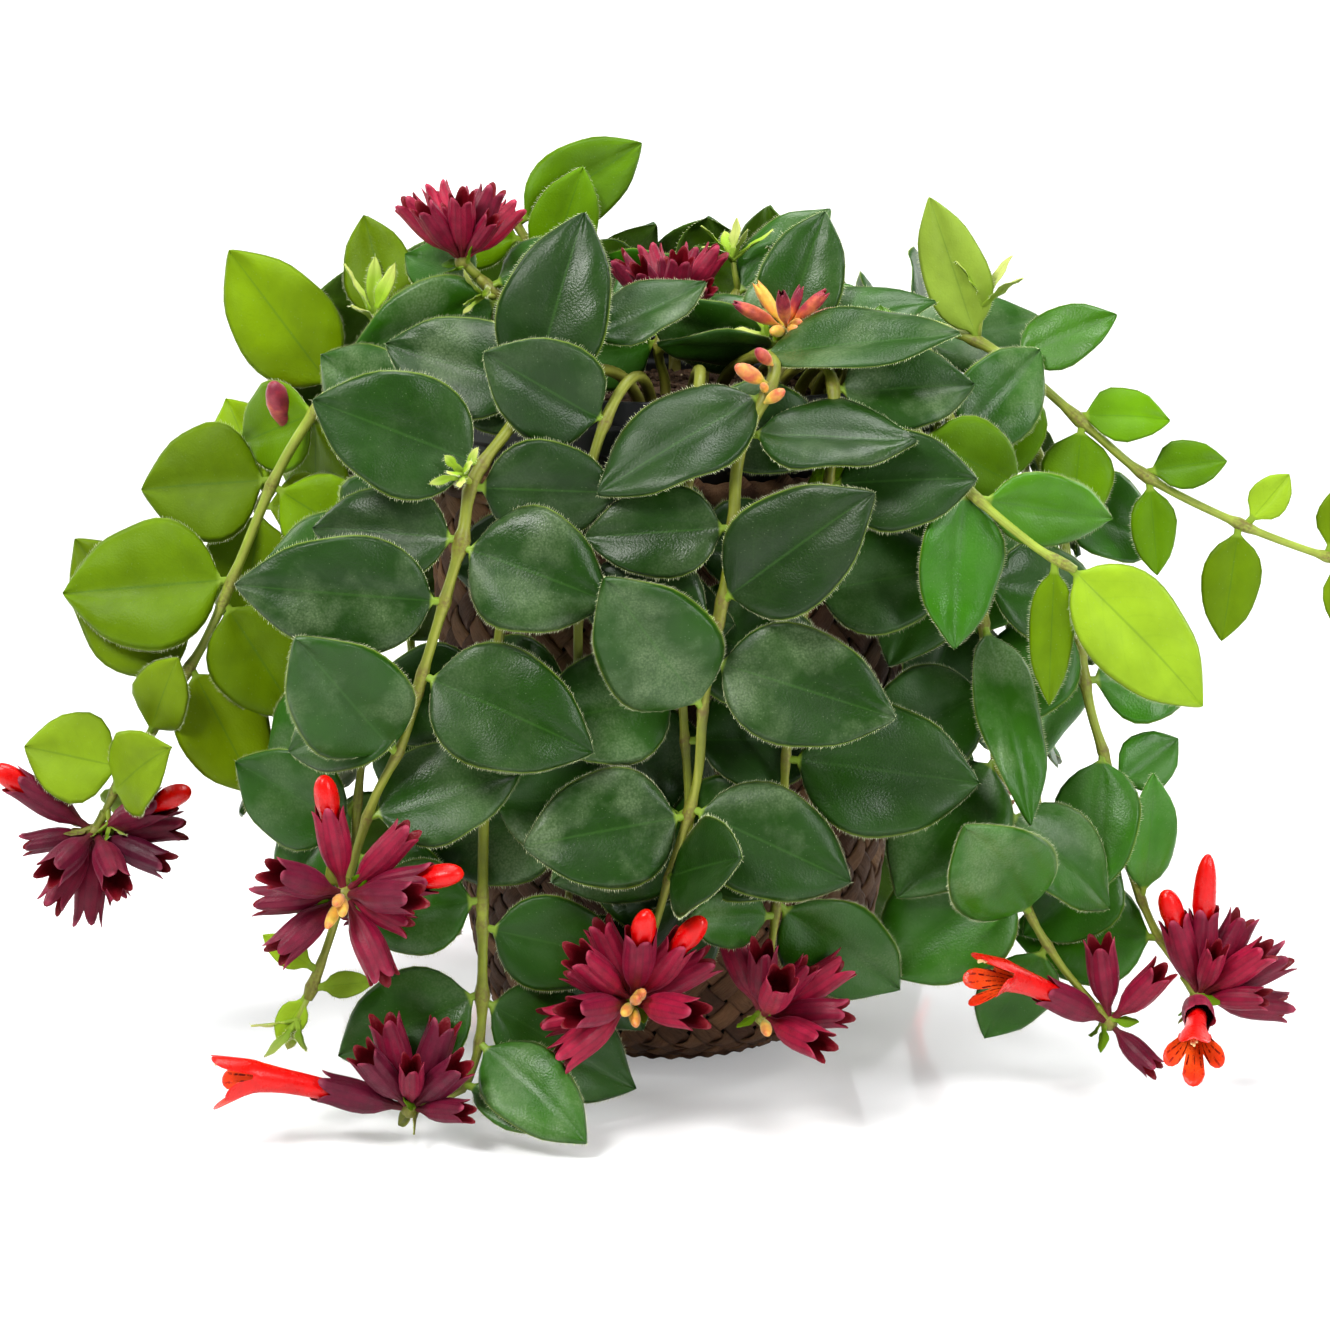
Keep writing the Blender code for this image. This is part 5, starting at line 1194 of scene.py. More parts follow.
def buildHairs(name, margins, spacing, tree):
    points, edges, away = [], [], []
    for line, out in margins:
        start = len(points)
        points += (line * mm).tolist()
        edges += [(start + k, start + k + 1) for k in range(len(line) - 1)]
        away += unit(out).ravel().tolist()
    mesh = bpy.data.meshes.new(name)
    mesh.from_pydata(points, edges, [])
    mesh.attributes.new("away", "FLOAT_VECTOR", "POINT").data.foreach_set("vector", away)
    return tree.grow(addObject(name, mesh), Spacing=spacing * mm, Length=hairs["length"] * mm,
                     Radius=hairs["radius"] * mm, Seed=hairs["seed"], Material=finishes["hair"])


# Blooms: calyces with five lobes, open two-lipped flowers and closed tips

calyxShape = dict(
    profile=((0.03, 0.24), (0.1, 0.25), (0.19, 0.29), (0.27, 0.52), (0.36, 0.82), (0.47, 1.0), (0.6, 1.07),
             (0.7, 1.06), (0.79, 1.03), (0.87, 0.99), (0.94, 0.98), (1.0, 1.0)),  # shares of length and radius
    lobes=5,
    notch=0.15,  # how deep the notches are, as a share of the length
    blunt=0.9,  # how round the lobes end: 1 is a point
    columns=30,
    wall=0.6,
    depth=0.5,  # how deep the mouth goes
    ribs=(0.02, 0.07),  # relief of the five edges, and how much more at the mouth
    sway=7,  # degrees that a calyx may curve
)
# The blossoms' colours: how crimson the calyces of each head are, from 0 to 1
headTones = {"left_front": 0.42, "centre_front": 0.56, "right_of_centre": 0.5, "floor_left": 0.22,
             "far_left": 0.25, "far_right": 0.45, "top_left": 0.62, "top_centre": 0.4, "young_buds": 0.3,
             "right_low": 0.3}


def smoothProfile(profile, shares):
    xs, ys = np.array(profile).T
    fine = np.linspace(xs[0], xs[-1], 160)
    kernel = np.hanning(11) / np.hanning(11).sum()
    line = np.pad(np.interp(fine, xs, ys), 5, mode="edge")
    return np.interp(shares, fine, np.convolve(line, kernel, mode="valid"))


def addShell(pile, trumpet, distances, radii, wall, turns, kind, floor, seed):
    # an outer sheet, its rounded edge and an inner sheet that closes at the floor, a distance along the axis
    inShares = np.linspace(1, 0, 9)[:, None]
    inDistance = floor + (distances[-1] - floor) * inShares ** 0.9
    outerAt = np.stack([np.interp(*lines) for lines in zip(inDistance.T, distances.T, radii.T)], 1)
    inRadius = np.clip(outerAt - wall * np.clip(1.2 - inShares, 0.25, 1), 0.1, None)
    inRadius = inRadius * np.where(inShares > 0.12, 1, 0.82)
    ways = np.concatenate([distances, inDistance])
    rows, columns = ways.shape
    grid = trumpet.points(ways, np.concatenate([radii, inRadius]), np.broadcast_to(turns, ways.shape))
    ends = trumpet.points(np.array([distances[0, 0] * 0.9, floor - 0.3]), np.zeros(2), np.zeros(2))
    along, around = (ways / distances.max()).ravel(), np.tile(np.arange(columns) / columns, rows)
    uv = np.stack([np.append(along, (0, 0.3)), np.append(around, (0, 0))], -1)
    under = np.append(np.repeat((0, 1), (distances.size, inDistance.size)), (0, 1))
    pile.add(np.concatenate([grid.reshape(-1, 3), ends]), closedFaces(rows, columns), uv, kind,
             tone=0.5, under=under, seed=seed)


def ringTurns(columns):
    return np.arange(columns) * math.tau / columns


def addCalyx(pile, root, direction, size, seed, rng, kind, bud=False):
    look, length, wide = calyxShape, calyxLength * size, calyxRadius * size
    sway = Vector((rng.uniform(-1, 1), rng.uniform(-1, 1), rng.uniform(-1, 1)))
    trumpet = Trumpet(root, direction, 0.3 * length, sway, rng.uniform(0, look["sway"]), 0.7 * length)
    turns, lobes = ringTurns(look["columns"]), look["lobes"]
    lobe = np.abs(np.cos(turns * lobes / 2 + math.pi / 2)) ** look["blunt"]
    notch = look["notch"] * (0.35 if bud else 1) * rng.uniform(0.85, 1.15)
    long = length * rng.uniform(0.94, 1.04)
    reach = long * (1 - notch * (1 - lobe)) * (1 + 0.03 * np.cos(turns * 2 + rng.uniform(0, 6)))
    shares = np.array([s for s, _ in look["profile"]])[:, None]
    late = np.clip((shares - 0.5) / 0.5, 0, 1)
    distances = np.maximum.accumulate(shares * (long * (1 - late) + reach * late), axis=0)
    low, high = look["ribs"]
    radii = smoothProfile(look["profile"], shares) * wide
    radii = radii * (1 + (low + high * late ** 2) * np.cos(lobes * turns + math.pi))
    if bud:
        radii = radii * (0.68 - 0.34 * np.clip((shares - 0.75) / 0.25, 0, 1) ** 1.5)
    addShell(pile, trumpet, distances, radii, look["wall"], turns, kind, look["depth"] * length, seed)


flowerShape = dict(
    columns=48,
    wall=0.55,
    mouth=1.12,  # radius where the lips part, as a share of the calyx's
    cleft=0.6,  # and how far along the flower
    lips=(  # middles and width in degrees, roundness, reach and radius of the edge:
        ((160, 200), 46, 0.4, 1.0, 1.2),  # the hood, with two lobes
        ((0,), 30, 0.5, 0.95, 2.3),  # the lower lip's middle lobe
        ((64,), 32, 0.5, 0.86, 2.1), ((296,), 32, 0.5, 0.86, 2.1),  # and its side lobes
    ),
    foot=((0.55, 0.3), (0.7, 0.56), (0.88, 0.68)),  # inside the calyx: shares of its length and radius
    stamens=(168, 180, 192, 180),  # degrees round the tube: they lie together under the hood
    stamenWays=(0.4, 0.6, 0.74, 0.86, 0.9),  # shares of the flower's reach, and of the calyx's radius
    stamenRises=(0.2, 0.55, 0.72, 0.78, 0.7),
    stamenRadii=(0.22, 0.24, 0.24, 0.22, 0.42),
)


def bump(turns, middle, width):
    # 1 at the middle and 0 past the width, round the tube; angles in degrees
    away = np.abs((np.degrees(turns) - middle + 180) % 360 - 180)
    return np.clip(1 - (away / width) ** 2, 0, 1)


def addOpenFlower(pile, root, direction, size, bend, rng):
    look = flowerShape
    length, reach, wide = calyxLength * size, corollaReach["open"] * size, calyxRadius * size
    # the tube's edge looks up at turn 180, because the trumpet bends down towards turn 0
    trumpet = Trumpet(root, direction, length, Vector((0, 0, -1)), bend, reach)
    columns, cleft, mouth = look["columns"], look["cleft"], look["mouth"]
    turns = ringTurns(columns)
    edge, flare = np.full(columns, cleft), np.full(columns, mouth)
    for middles, width, power, out, radius in look["lips"]:
        shape = np.max([bump(turns, middle, width) for middle in middles], 0) ** power
        edge = np.maximum(edge, cleft + (out - cleft) * shape)
        flare = np.where(shape > 0, np.maximum(flare, mouth + (radius - mouth) * shape), flare)
    tube = np.repeat(np.array([[0.0], [0.12], [0.25], [0.38], [0.5]]), columns, 1)
    shares = np.concatenate([tube, 0.5 + (edge - 0.5) * np.linspace(0.16, 1, 8)[:, None]])
    opened = np.clip((shares - 0.56) / np.maximum(edge - 0.56, 0.05), 0, 1)
    radii = np.interp(shares, [0, 0.3, 0.5, cleft], [0.72, 0.8, 0.98, mouth])
    radii = radii + (flare - mouth) * opened ** 1.25
    squeeze = 1 - 0.12 * np.abs(np.sin(turns)) * (1 - opened)
    foot = np.array(look["foot"])
    distances = np.concatenate([np.repeat(foot[:, :1] * length, columns, 1), length + shares * reach])
    widths = np.concatenate([np.repeat(foot[:, 1:] * wide, columns, 1), radii * wide * squeeze])
    addShell(pile, trumpet, distances, widths, look["wall"], turns, 0, length + 0.34 * reach, rng.random())
    for k, turn in enumerate(look["stamens"]):
        way, rise = np.array(look["stamenWays"]), np.array(look["stamenRises"])
        way[-1] += 0.02 * k
        rise[-1] -= 0.08 * (k == 3)
        line = trumpet.points(way * reach + length, rise * wide, np.full(5, math.radians(turn)))
        pile.add(*sweep(line, look["stamenRadii"], 6), 0, tone=0.5, seed=2)


tipShape = dict(
    columns=24,
    foot=((0.55, 0.3), (0.7, 0.56), (0.9, 0.68)),  # as an open flower's
    rows=(0.0, 0.3, 0.55, 0.75, 0.9, 0.975),  # shares of its reach past the calyx
    width=0.8,  # share of the calyx's radius
    round=2.6,  # how late it closes: higher is later
    seam=0.1,
    swell=0.1,
)


def addClosedTip(pile, root, direction, size, kind, rng):
    # a rounded bullet of folded lobes, with a seam between them
    look, columns = tipShape, tipShape["columns"]
    length, reach, wide = calyxLength * size, corollaReach[kind] * size, calyxRadius * size
    turns, rows = ringTurns(columns), np.array(look["rows"])
    footPlaces, footWidths = np.array(look["foot"]).T
    widths = np.concatenate([footWidths, look["width"] * np.sqrt(1 - rows ** look["round"])])
    places = np.concatenate([footPlaces * length, length + rows * reach])
    distances = np.repeat(places[:, None], columns, 1)
    seams = 1 - look["seam"] * np.abs(np.sin(turns * 1.5 + 0.4)) ** 8
    seams = seams * (1 + look["swell"] * np.cos(turns - 1))
    radii = (widths * wide)[:, None] * seams
    grid = Trumpet(root, direction).points(distances, radii, np.broadcast_to(turns, distances.shape))
    ends = [root + direction * 0.5 * length, root + direction * (length + reach)]
    rows = len(places)
    uv = ringUv(np.linspace(0, 0.9, rows), np.arange(columns) / columns, (0, 0), (0.9, 0))
    pile.add(np.concatenate([grid.reshape(-1, 3), ends]), closedFaces(rows, columns), uv, 0,
             tone=0.5, seed=rng.random())


def addHeadCore(pile, start, centre, size):
    # the stalk and the knot that the calyces grow from
    line = [start, start.lerp(centre, 0.35), start.lerp(centre, 0.7), centre]
    thick = [stalkRadius * 1.05, stalkRadius, stalkRadius * 1.1, 1.9 * size]
    pile.add(*sweep(line, thick, 10), 1, tone=0.6, seed=0.5)
    ball = bmesh.new()
    bmesh.ops.create_icosphere(ball, subdivisions=3, radius=headCore * size * 0.64)
    shape = np.array([tuple(v.co) for v in ball.verts])
    corners = np.array([[v.index for v in f.verts] for f in ball.faces])
    ball.free()
    lumps = 1 + 0.07 * np.sin(shape[:, 0] * 3.1 + 1) * np.sin(shape[:, 1] * 2.7) * np.cos(shape[:, 2] * 2.9)
    pile.add(shape * lumps[:, None] + np.array(centre), np.concatenate([corners, corners[:, 2:]], 1), None, 1,
             tone=0.3, under=0.4, seed=0.5)


bractShape = dict(count=4, jitter=20, rise=0.75, back=2.5, length=11, width=4.6, tones=(0.45, 0.7))


def addBracts(pile, start, centre, size, rng):
    # a few small green bracts at the foot of the head
    look, jitter, count = bractShape, bractShape["jitter"], bractShape["count"]
    axis = (centre - start).normalized()
    across = axis.orthogonal().normalized()
    other = axis.cross(across)
    for k in range(count):
        turn = math.radians(360 / count * k + rng.uniform(-jitter, jitter))
        way = (axis * look["rise"] + across * math.cos(turn) + other * math.sin(turn)).normalized()
        root = centre - axis * look["back"] * size
        bract = leafAlong(root, way, axis, look["length"] * size, look["width"] * size)
        addBlade(pile, bract, Vector(), rng.uniform(*look["tones"]), rng)


budShape = dict(
    places=(0.0, 0.2, 0.34, 0.5, 0.68, 0.84, 0.95),  # a plump closed bud on a short stalk
    widths=(0.28, 0.3, 0.7, 0.96, 1.0, 0.78, 0.42),
    count={"left_front": 3, "centre_front": 4, "young_buds": 5, "right_of_centre": 1},
    tries=12,  # for each bud, to find room between the calyces
    lengths=(14, 19),  # mm, for a bud in a head of size 1
    radius=1.7,
    reds=(-0.28, 0.08),  # how red it is: 0 is yellow
)


def addBud(pile, root, direction, length, radius, seed):
    line = [root + direction * length * share for share in budShape["places"]]
    pile.add(*sweep(line, np.array(budShape["widths"]) * radius, 12), 2, tone=0.5, seed=seed)


def buildBlooms(plan, rng):
    name, start, centre, calyces, flowers, size = plan
    pile = Pile("tone", "under", "seed")
    young, tone = name == "young_buds", headTones.get(name, 0.4)
    addHeadCore(pile, start, centre, size)
    addBracts(pile, start, centre, size, rng)
    calyces = calyces + [(flower[0], size) for flower in flowers]
    for direction, share in calyces:
        mixed = rng.random() if young else clamp(tone + rng.uniform(-0.25, 0.3))
        addCalyx(pile, centre, direction, share, mixed, rng, 2 if young else 0, young)
    ways = [calyx[0] for calyx in calyces]
    axis = sum(ways, Vector()).normalized()

    def chosen(wide, up):
        # a way near the head's axis, with the room that it has
        shift = Vector((rng.uniform(-wide, wide), rng.uniform(-wide, up), rng.uniform(-wide, wide)))
        way = (axis + shift).normalized()
        return min(way.angle(calyx) for calyx in ways), way

    for _ in range(budShape["count"].get(name, 0)):
        tried = [chosen(0.8, 0.2)] + [chosen(0.9, 0.3) for _ in range(budShape["tries"])]
        way = max(tried, key=lambda found: found[0])[1]
        length = rng.uniform(*budShape["lengths"]) * size
        addBud(pile, centre, way, length, budShape["radius"], rng.uniform(*budShape["reds"]))
    return pile.build("blooms_" + name, "calyx", "stem", "young", "lime")


# Holder: turned shapes first

def addTurned(pile, profile, columns):
    # a closed shape turned from a profile that starts and ends beside the axis
    rings = np.array(profile)[:, None, :]
    radius, height = np.broadcast_arrays(rings[..., 0], rings[..., 1] + np.zeros(columns))
    turns = ringTurns(columns)
    points = np.stack([radius * np.cos(turns), radius * np.sin(turns), height], -1).reshape(-1, 3)
    ends = [(0, 0, profile[0][1]), (0, 0, profile[-1][1])]
    pile.add(np.concatenate([points, ends]), closedFaces(len(profile), columns), seed=0.5)


# Basket: split bark strips woven both ways over a dark liner, with a wrapped rim and a coiled foot

basketLook = dict(
    outline=((27, 0), (40, 6), (54, 14), (59, 30), (63, 55), (66, 82), (68, 110), (69.8, 138), (71, 163),
             (71.5, 183)),  # radius and height up the solid's outer side
    shell=0.9,  # how far the liner lies under the solid's surface
    linerWall=(4.2, 3.2),  # how far its inner side lies in from the outer line, and up
    footRadius=42,  # the strips start here, over the coils
    strips=34,  # each way round
    thick=1.0,
    cover=0.88,  # how much of its own lane a strip fills
    weave=0.75,  # mm that a strip passes over or under
    stepsPerCrossing=4,
    footCoils=5,
    coilRadius=2.3,
    twist=0.16,  # how far the turns of a wrapped coil stand out
    rimRadius=3.0,
    rimTwist=0.12,
    rimBands=((-0.6, 0.75, 1, 62, 12, 372), (0.5, 2.6, 0.55, 40, 8, 240)),  # how far out, how low and how
                                  # thick, in rim radii; wraps, sides and steps
    seed=3,
)


def wallLine(count):
    # points down the basket's outer wall: radius, height, distance, and the outward slope there
    outline = np.array(basketLook["outline"])
    steps = np.concatenate([[0], np.cumsum(np.linalg.norm(np.diff(outline, axis=0), axis=1))])
    s = np.linspace(0, steps[-1], count)
    kernel = np.hanning(9) / np.hanning(9).sum()
    radius, height = (np.convolve(np.pad(np.interp(s, steps, line), 4, mode="reflect", reflect_type="odd"),
                                  kernel, mode="valid") for line in outline.T)
    rise = unit(np.stack([np.gradient(radius, s), np.gradient(height, s)], -1))
    return radius, height, s, np.stack([rise[:, 1], -rise[:, 0]], -1)


def buildRoundTree():
    # copies of one mesh, evenly spaced round the upright axis
    tree = Repeat("copiesRound", Copies="Int")
    copies = tree.given["Copies"]
    spots = tree.out("GeometryNodeMeshLine", {
        "Count": copies, "Start Location": (0, 0, 0), "Offset": (0, 0, 0)})
    share = tree.math("DIVIDE", tree.out("GeometryNodeInputIndex"), copies)
    turn = tree.out("ShaderNodeCombineXYZ", {2: tree.times(share, math.tau)})
    placed = tree.out("GeometryNodeInstanceOnPoints", {
        "Points": spots, "Instance": tree.given["Geometry"], "Rotation": turn})
    return tree.close(tree.out("GeometryNodeStoreNamedAttribute", {
        "Geometry": placed, "Name": "seed", "Value": tree.chance(0.0, 1.0),
    }, data_type="FLOAT", domain="INSTANCE"))


def buildStrips(name, sign, tree):
    # the centre line winds up the wall at 45 degrees and passes over and under the other strips
    strips, thick = basketLook["strips"], basketLook["thick"]
    radius, height, s, outwards = wallLine(900)
    wind = np.concatenate([[0], np.cumsum(np.diff(s) / (0.5 * (radius[1:] + radius[:-1])))])
    start = float(np.interp(basketLook["footRadius"], radius[:200], wind[:200]))
    count = int((wind[-1] - start) * strips / math.pi * basketLook["stepsPerCrossing"])
    w = np.linspace(start, wind[-1], count)
    r, z, nr, nz = (np.interp(w, wind, line) for line in (radius, height, *outwards.T))
    lift = thick * 0.5 + sign * basketLook["weave"] * np.cos(strips * w)
    r, z, angle = r + nr * lift, z + nz * lift, sign * w
    path, out = (np.stack([a * np.cos(angle), a * np.sin(angle), b], -1) for a, b in ((r, z), (nr, nz)))
    across = unit(np.cross(unit(np.gradient(path, axis=0)), out))
    half = (math.pi * r / strips * math.sqrt(0.5) * basketLook["cover"])[:, None]
    section = [(-1, 0), (-0.72, 0.5), (0.72, 0.5), (1, 0), (0.72, -0.5), (-0.72, -0.5)]
    rings = np.stack([path + across * half * a + out * thick * b for a, b in section], 1)
    pile = Pile()
    uv = ringUv(w - start, [(a + 1) / 2 for a, _ in section], (0, 0.5), (0, 0.5))
    points = np.concatenate([rings.reshape(-1, 3), path[:1], path[-1:]])
    pile.add(points, closedFaces(count, len(section)), uv)
    return tree.grow(pile.build(name, "bark"), Copies=strips, Seed=basketLook["seed"] + (sign > 0),
                     Material=finishes["bark"])


def addBand(pile, radius, height, thick, wraps, rng, twist, sides=10, steps=180):
    # a closed ring of twisted bark
    turns, around = ringTurns(steps)[:, None], ringTurns(sides)
    thick = thick * (1 + twist * np.cos(wraps * turns + around))
    r, z = radius + thick * np.cos(around), height + thick * np.sin(around)
    points = np.stack([r * np.cos(turns), r * np.sin(turns), z], -1).reshape(-1, 3)
    faces = ringFaces(steps + 1, sides) % len(points)
    turns = turns[:, 0]
    along = np.repeat(np.abs(turns - math.pi) * wraps / 6, sides)
    uv = np.stack([along, np.tile(around / math.tau, steps)], -1)
    pile.add(points, faces, uv, seed=np.repeat(0.5 + 0.45 * np.sin(turns * wraps / 2 + rng.random()), sides))


def buildBasketLook(tree):
    # the liner is the basket's own wall, drawn in a little so that the strips stand on it
    rng = random.Random(11)
    radius, height, _, outwards = wallLine(60)
    mouth, edge = float(height[-1]), float(radius[-1])
    shell, floor = basketLook["shell"], 0.5
    outline = [(r - nr * shell, max(z - nz * shell, floor))
               for r, z, (nr, nz) in zip(radius, height, outwards)]
    inward, upward = basketLook["linerWall"]
    back = [(max(r - inward, 1), z + upward) for r, z in list(zip(radius, height))[-8::-8]]
    liner = Pile("seed")
    lip = (potRadius(mouth) + gap, mouth - 1.5)
    addTurned(liner, [(0.01, floor), *outline, lip, *back, (0.01, inward)], 96)
    bands = Pile("seed")
    coil, coils, twist = basketLook["coilRadius"], basketLook["footCoils"], basketLook["twist"]
    for k in range(coils):
        r = coil * 1.2 + (basketLook["footRadius"] - coil) * (k + 0.6) / coils
        z = max(coil * (1 + twist), float(np.interp(r, radius, height)) + coil * 0.75)
        addBand(bands, r, z, coil, 8 + 9 * k, rng, twist)
    rim, wrap = basketLook["rimRadius"], basketLook["rimTwist"]
    for out, drop, share, wraps, sides, steps in basketLook["rimBands"]:
        addBand(bands, edge + out, mouth - rim * drop, rim * share, wraps, rng, wrap, sides, steps)
    for piece in (liner.build("basketLiner", "liner"), bands.build("basketBands", "bark"),
                  buildStrips("basketStripsLeft", 1, tree), buildStrips("basketStripsRight", -1, tree)):
        finishPiece(piece, "woven_bark", "basket")


# Grow pot: turned, with a stepped rim and small upright ribs

potLook = dict(
    rim=69.5,  # radii and heights of the solid
    rimHeight=7,
    band=68.6,
    step=1.5,
    shoulder=67.6,
    shoulderHeight=189.5,
    foot=52,
    wall=1.6,
    columns=144,
    ribs=12,
    ribWidth=1.6,
    ribDepth=0.9,
    edge=0.5,  # radius of the rounded corners
)


def roundedCorners(profile, radius):
    # each corner of a (radius, height) profile becomes a short arc
    found = [profile[0]]
    for rows in zip(profile, profile[1:], profile[2:]):
        a, b, c = (np.array(p, float) for p in rows)
        back, on = np.linalg.norm(a - b), np.linalg.norm(c - b)
        cut = min(radius, 0.45 * back, 0.45 * on)
        start, end = b + (a - b) / back * cut, b + (c - b) / on * cut
        for t in (0, 0.33, 0.67, 1):
            found.append(tuple((1 - t) ** 2 * start + 2 * t * (1 - t) * b + t ** 2 * end))
    return found + [profile[-1]]


def potRadius(z):
    # outer radius of the pot's tapered wall
    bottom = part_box("grow_pot")[0].z / mm
    share = (z - bottom) / (potLook["shoulderHeight"] - bottom)
    return potLook["foot"] + (potLook["shoulder"] - potLook["foot"]) * share


def buildPotLook(tree):
    bottom, top = (corner.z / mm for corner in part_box("grow_pot"))
    rim, band, shoulder, foot, wall = (potLook[k] for k in ("rim", "band", "shoulder", "foot", "wall"))
    low, step = potLook["shoulderHeight"], potLook["step"]
    neck = top - potLook["rimHeight"]
    inner = [(0.5, bottom + wall), (foot - wall, bottom + wall), (shoulder - wall, low),
             (band - wall, low + step), (band - wall, neck - step), (rim - wall, neck), (rim - wall, top)]
    outer = [(rim, top), (rim, neck), (band, neck - step), (band, low + step), (shoulder, low),
             (foot, bottom), (0.5, bottom)]
    pile = Pile("seed")
    addTurned(pile, roundedCorners(inner + outer, potLook["edge"]), potLook["columns"])
    pot = pile.build("growPot", "pot")
    pot.data.set_sharp_from_angle(angle=math.radians(50))
    half, deep = potLook["ribWidth"] / 2, potLook["ribDepth"]
    x, y = np.transpose([(0, -half), (deep, -0.6 * half), (deep, 0.6 * half), (0, half), (-0.5, half),
                         (-0.5, -half)])
    rings = [np.column_stack([band + x, y, np.full(6, z)]) for z in (low + step, neck - step)]
    rib = Pile("seed")
    rib.add(np.concatenate([*rings, [ring.mean(0) for ring in rings]]), closedFaces(2, 6))
    ribs = tree.grow(rib.build("growPotRibs", "pot", smooth=False), Copies=potLook["ribs"], Seed=1,
                     Material=finishes["pot"])
    for piece in (pot, ribs):
        finishPiece(piece, "pot_plastic", "grow_pot")


# Soil: an uneven peat surface with crumbs

soilLook = dict(columns=96, rings=26, lump=1.1, play=0.45, crumbs=900, crumbSize=(0.7, 2.2), seed=5)


def buildCrumbTree():
    # crumbs of uneven size, strewn over what faces up
    tree = Repeat("peatCrumbs", Count="Int", Smallest="Float", Largest="Float")
    given = tree.given
    up = tree.node("ShaderNodeSeparateXYZ", {0: tree.out("GeometryNodeInputNormal")}).outputs[2]
    spots = tree.out("GeometryNodeDistributePointsOnFaces", {
        "Mesh": given["Geometry"], "Selection": tree.math("GREATER_THAN", up, 0.7), "Density": 60000.0,
        "Seed": given["Seed"]})
    extra = tree.math("GREATER_THAN", tree.out("GeometryNodeInputIndex"), given["Count"])
    fewer = tree.out("GeometryNodeDeleteGeometry", {"Geometry": spots, "Selection": extra}, domain="POINT")
    crumb = tree.out("GeometryNodeMeshIcoSphere", {"Radius": 1.0, "Subdivisions": 1})
    size = tree.chance(given["Smallest"], given["Largest"])
    return tree.close(tree.out("GeometryNodeInstanceOnPoints", {
        "Points": fewer, "Instance": crumb, "Rotation": tree.chance((0, 0, 0), (math.tau,) * 3),
        "Scale": tree.scale(tree.chance((0.6, 0.6, 0.4), (1.3, 1.0, 0.8)), size)}))


def buildSoilLook():
    bottom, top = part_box("soil")[0].z / mm, potLook["shoulderHeight"]
    foot, edge = (potLook[k] - potLook["wall"] - soilLook["play"] for k in ("foot", "shoulder"))
    surface = [(edge * s, soilTop + soilHump * (1 - (s / 0.95) ** 2) - (soilTrench - 1) * s ** 8)
               for s in np.linspace(1, 0.01, soilLook["rings"])]
    pile = Pile("seed")
    addTurned(pile, [(0.4, bottom), (foot, bottom), (edge, top - 2), *surface], soilLook["columns"])
    points = pile.points[0]
    x, y, z = points.T
    lumps = np.sin(x * 0.61 + 1.3 * np.sin(y * 0.37)) * np.cos(y * 0.53 + 0.9 * np.sin(x * 0.29))
    lumps += 0.6 * np.sin(x * 1.7 + y * 0.9) * np.sin(y * 1.9 - x * 0.6)
    z += (z > top) * soilLook["lump"] * 0.6 * lumps * np.clip((edge - np.hypot(x, y)) / 4, 0, 1)
    soil = pile.build("pottingSoil", "soil")
    low, high = soilLook["crumbSize"]
    crumbs = buildCrumbTree().grow(addObject("soilCrumbs", soil.data.copy()), Count=soilLook["crumbs"],
                                   Smallest=low * mm, Largest=high * mm, Seed=soilLook["seed"],
                                   Material=finishes["soil"])
    for piece in (soil, crumbs):
        finishPiece(piece, "potting_soil", "soil")


# Making the pieces

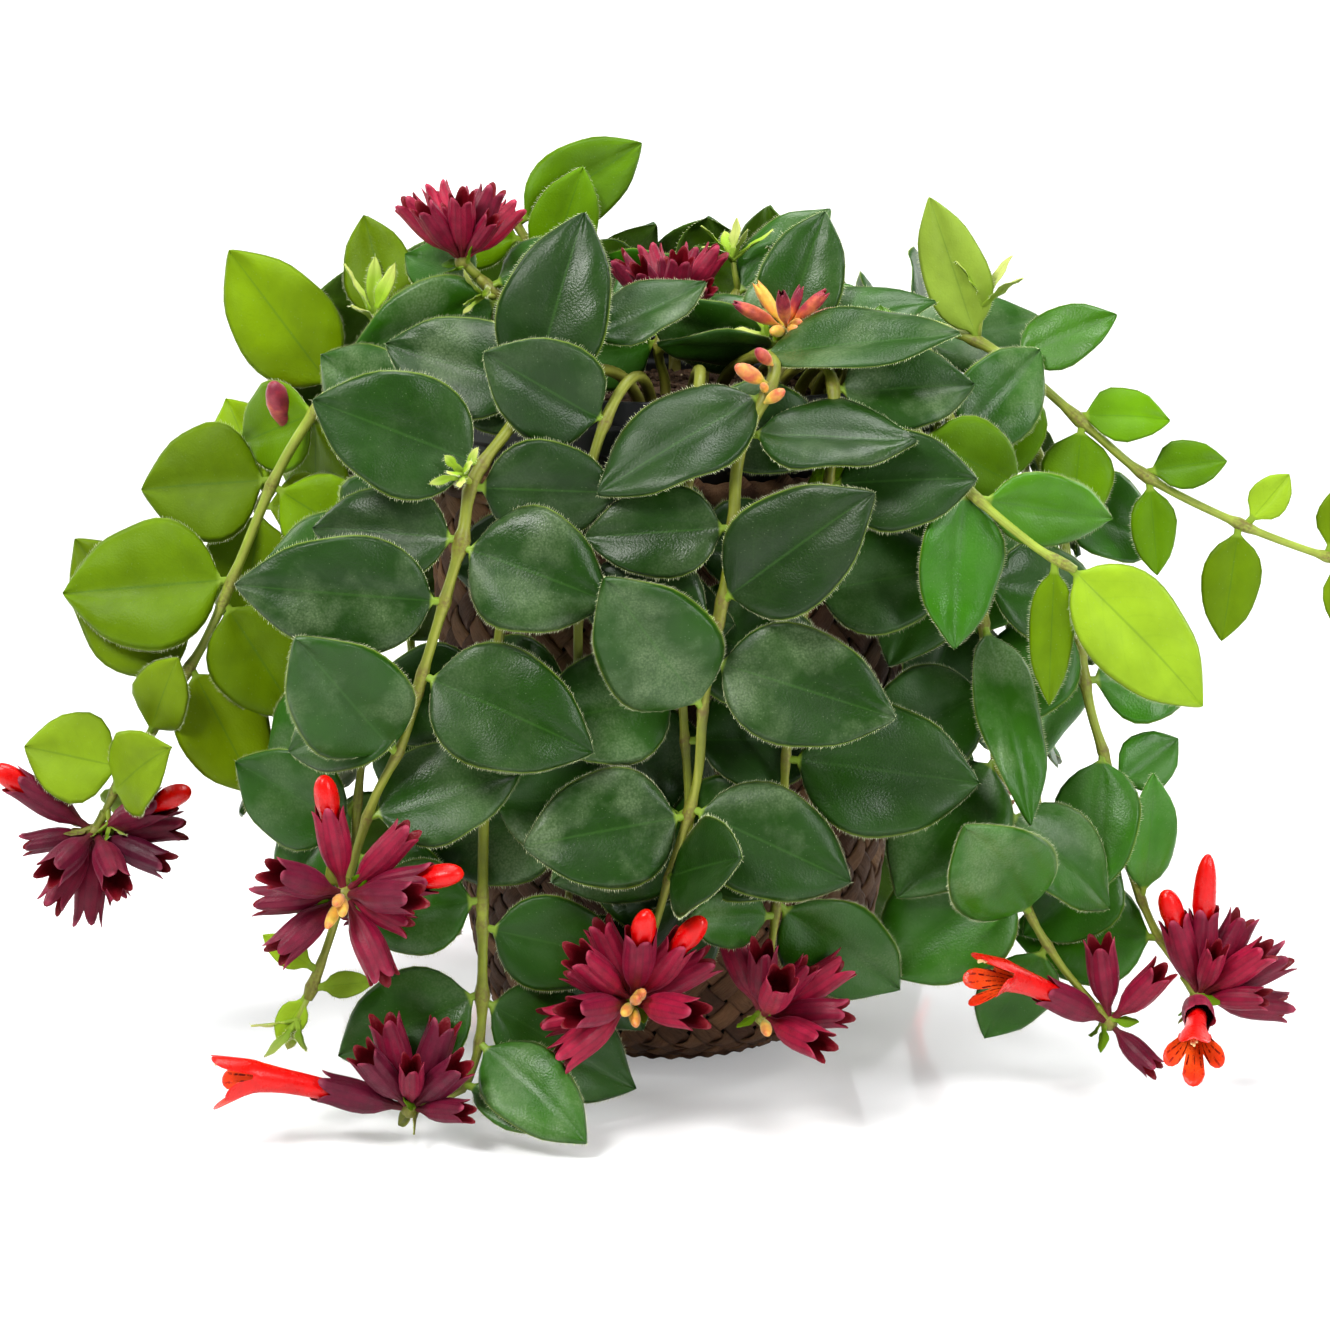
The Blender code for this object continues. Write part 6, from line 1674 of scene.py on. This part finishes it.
def buildFoliage(name, route, radius, leaves, rng):
    pile = Pile("tone", "under", "seed")
    rows, where = smoothRoute(route, foliage["stemStep"])
    low, high = foliageTones.get(name, ruledTones)
    addStem(pile, rows, where, route, radius, [u for u, _ in leaves], (low, high))
    margins = []
    for u, leaf in leaves:
        tone = low + (high - low) * (u / (len(route) - 1)) ** 1.5 + rng.uniform(-0.05, 0.05)
        if leaf.length < youngLeaf:
            tone = rng.uniform(0.82, 0.95)
        tone = leafTones.get((name, round(u - footPoints, 1)), tone)
        margins.append(addBlade(pile, leaf, onCurve(rows, where, u) - leaf.root, clamp(tone), rng))
    for stem, u, way, length, count in sprigs:
        if stem == name:
            margins += addSprig(pile, onCurve(rows, where, u), heading(0, *way), length, count, rng)
    for stem, u, way, length, red in loneBuds:
        if stem == name:
            addBud(pile, onCurve(rows, where, u), heading(0, *way), length, length * 0.16, red)
    finishPiece(pile.build("foliage_" + name, "stem", "leaf", "young", "lime"), "leaf_and_stem",
                "leafy_stem_" + name)
    return margins


def buildFlower(name, centre, direction, size, kind, bend, rng):
    pile = Pile("tone", "under", "seed")
    if kind == "open":
        addOpenFlower(pile, centre, direction, size, bend, rng)
    else:
        addClosedTip(pile, centre, direction, size, kind, rng)
    finishPiece(pile.build("flower_" + name, "corolla"), "corolla", "corolla_" + name)


buildStudio()
plans = stemPlans()
stemWork = [(name, route, radius, grownLeaves(name, route, face, leaves))
            for name, route, radius, face, leaves in plans]
headWork = headPlans({name: (route, radius) for name, route, radius, *_ in plans})
leafCount = sum(len(stem[3]) for stem in stemWork)
print("layout:", len(stemWork), "stems,", leafCount, "leaves,", len(headWork), "heads")

rng = random.Random(2)
nearMargins, farMargins = [], []
for name, *work in stemWork:
    (farMargins if name.startswith("back") else nearMargins).extend(buildFoliage(name, *work, rng))
print("foliage:", len(stemWork), "leafy stems")

hairTree = buildHairTree()
for name, margins, spacing in (("leafHairsFront", nearMargins, hairs["spacing"]),
                               ("leafHairsBack", farMargins, hairs["farSpacing"])):
    finishPiece(buildHairs(name, margins, spacing, hairTree), "leaf_and_stem")
print("hairs: on", len(nearMargins) + len(farMargins), "blades")

for plan in headWork:
    name, _, centre, _, flowers, size = plan
    slot = "young_calyx" if name == "young_buds" else "calyx"
    finishPiece(buildBlooms(plan, rng), slot, "bloom_head_" + name)
    for number, (direction, kind, bend) in enumerate(flowers, 1):
        buildFlower(f"{name}_{number}", centre, direction, size, kind, bend, rng)
print("blooms:", len(headWork), "heads")

roundTree = buildRoundTree()
buildBasketLook(roundTree)
buildPotLook(roundTree)
buildSoilLook()
print("holder: basket, pot and soil")
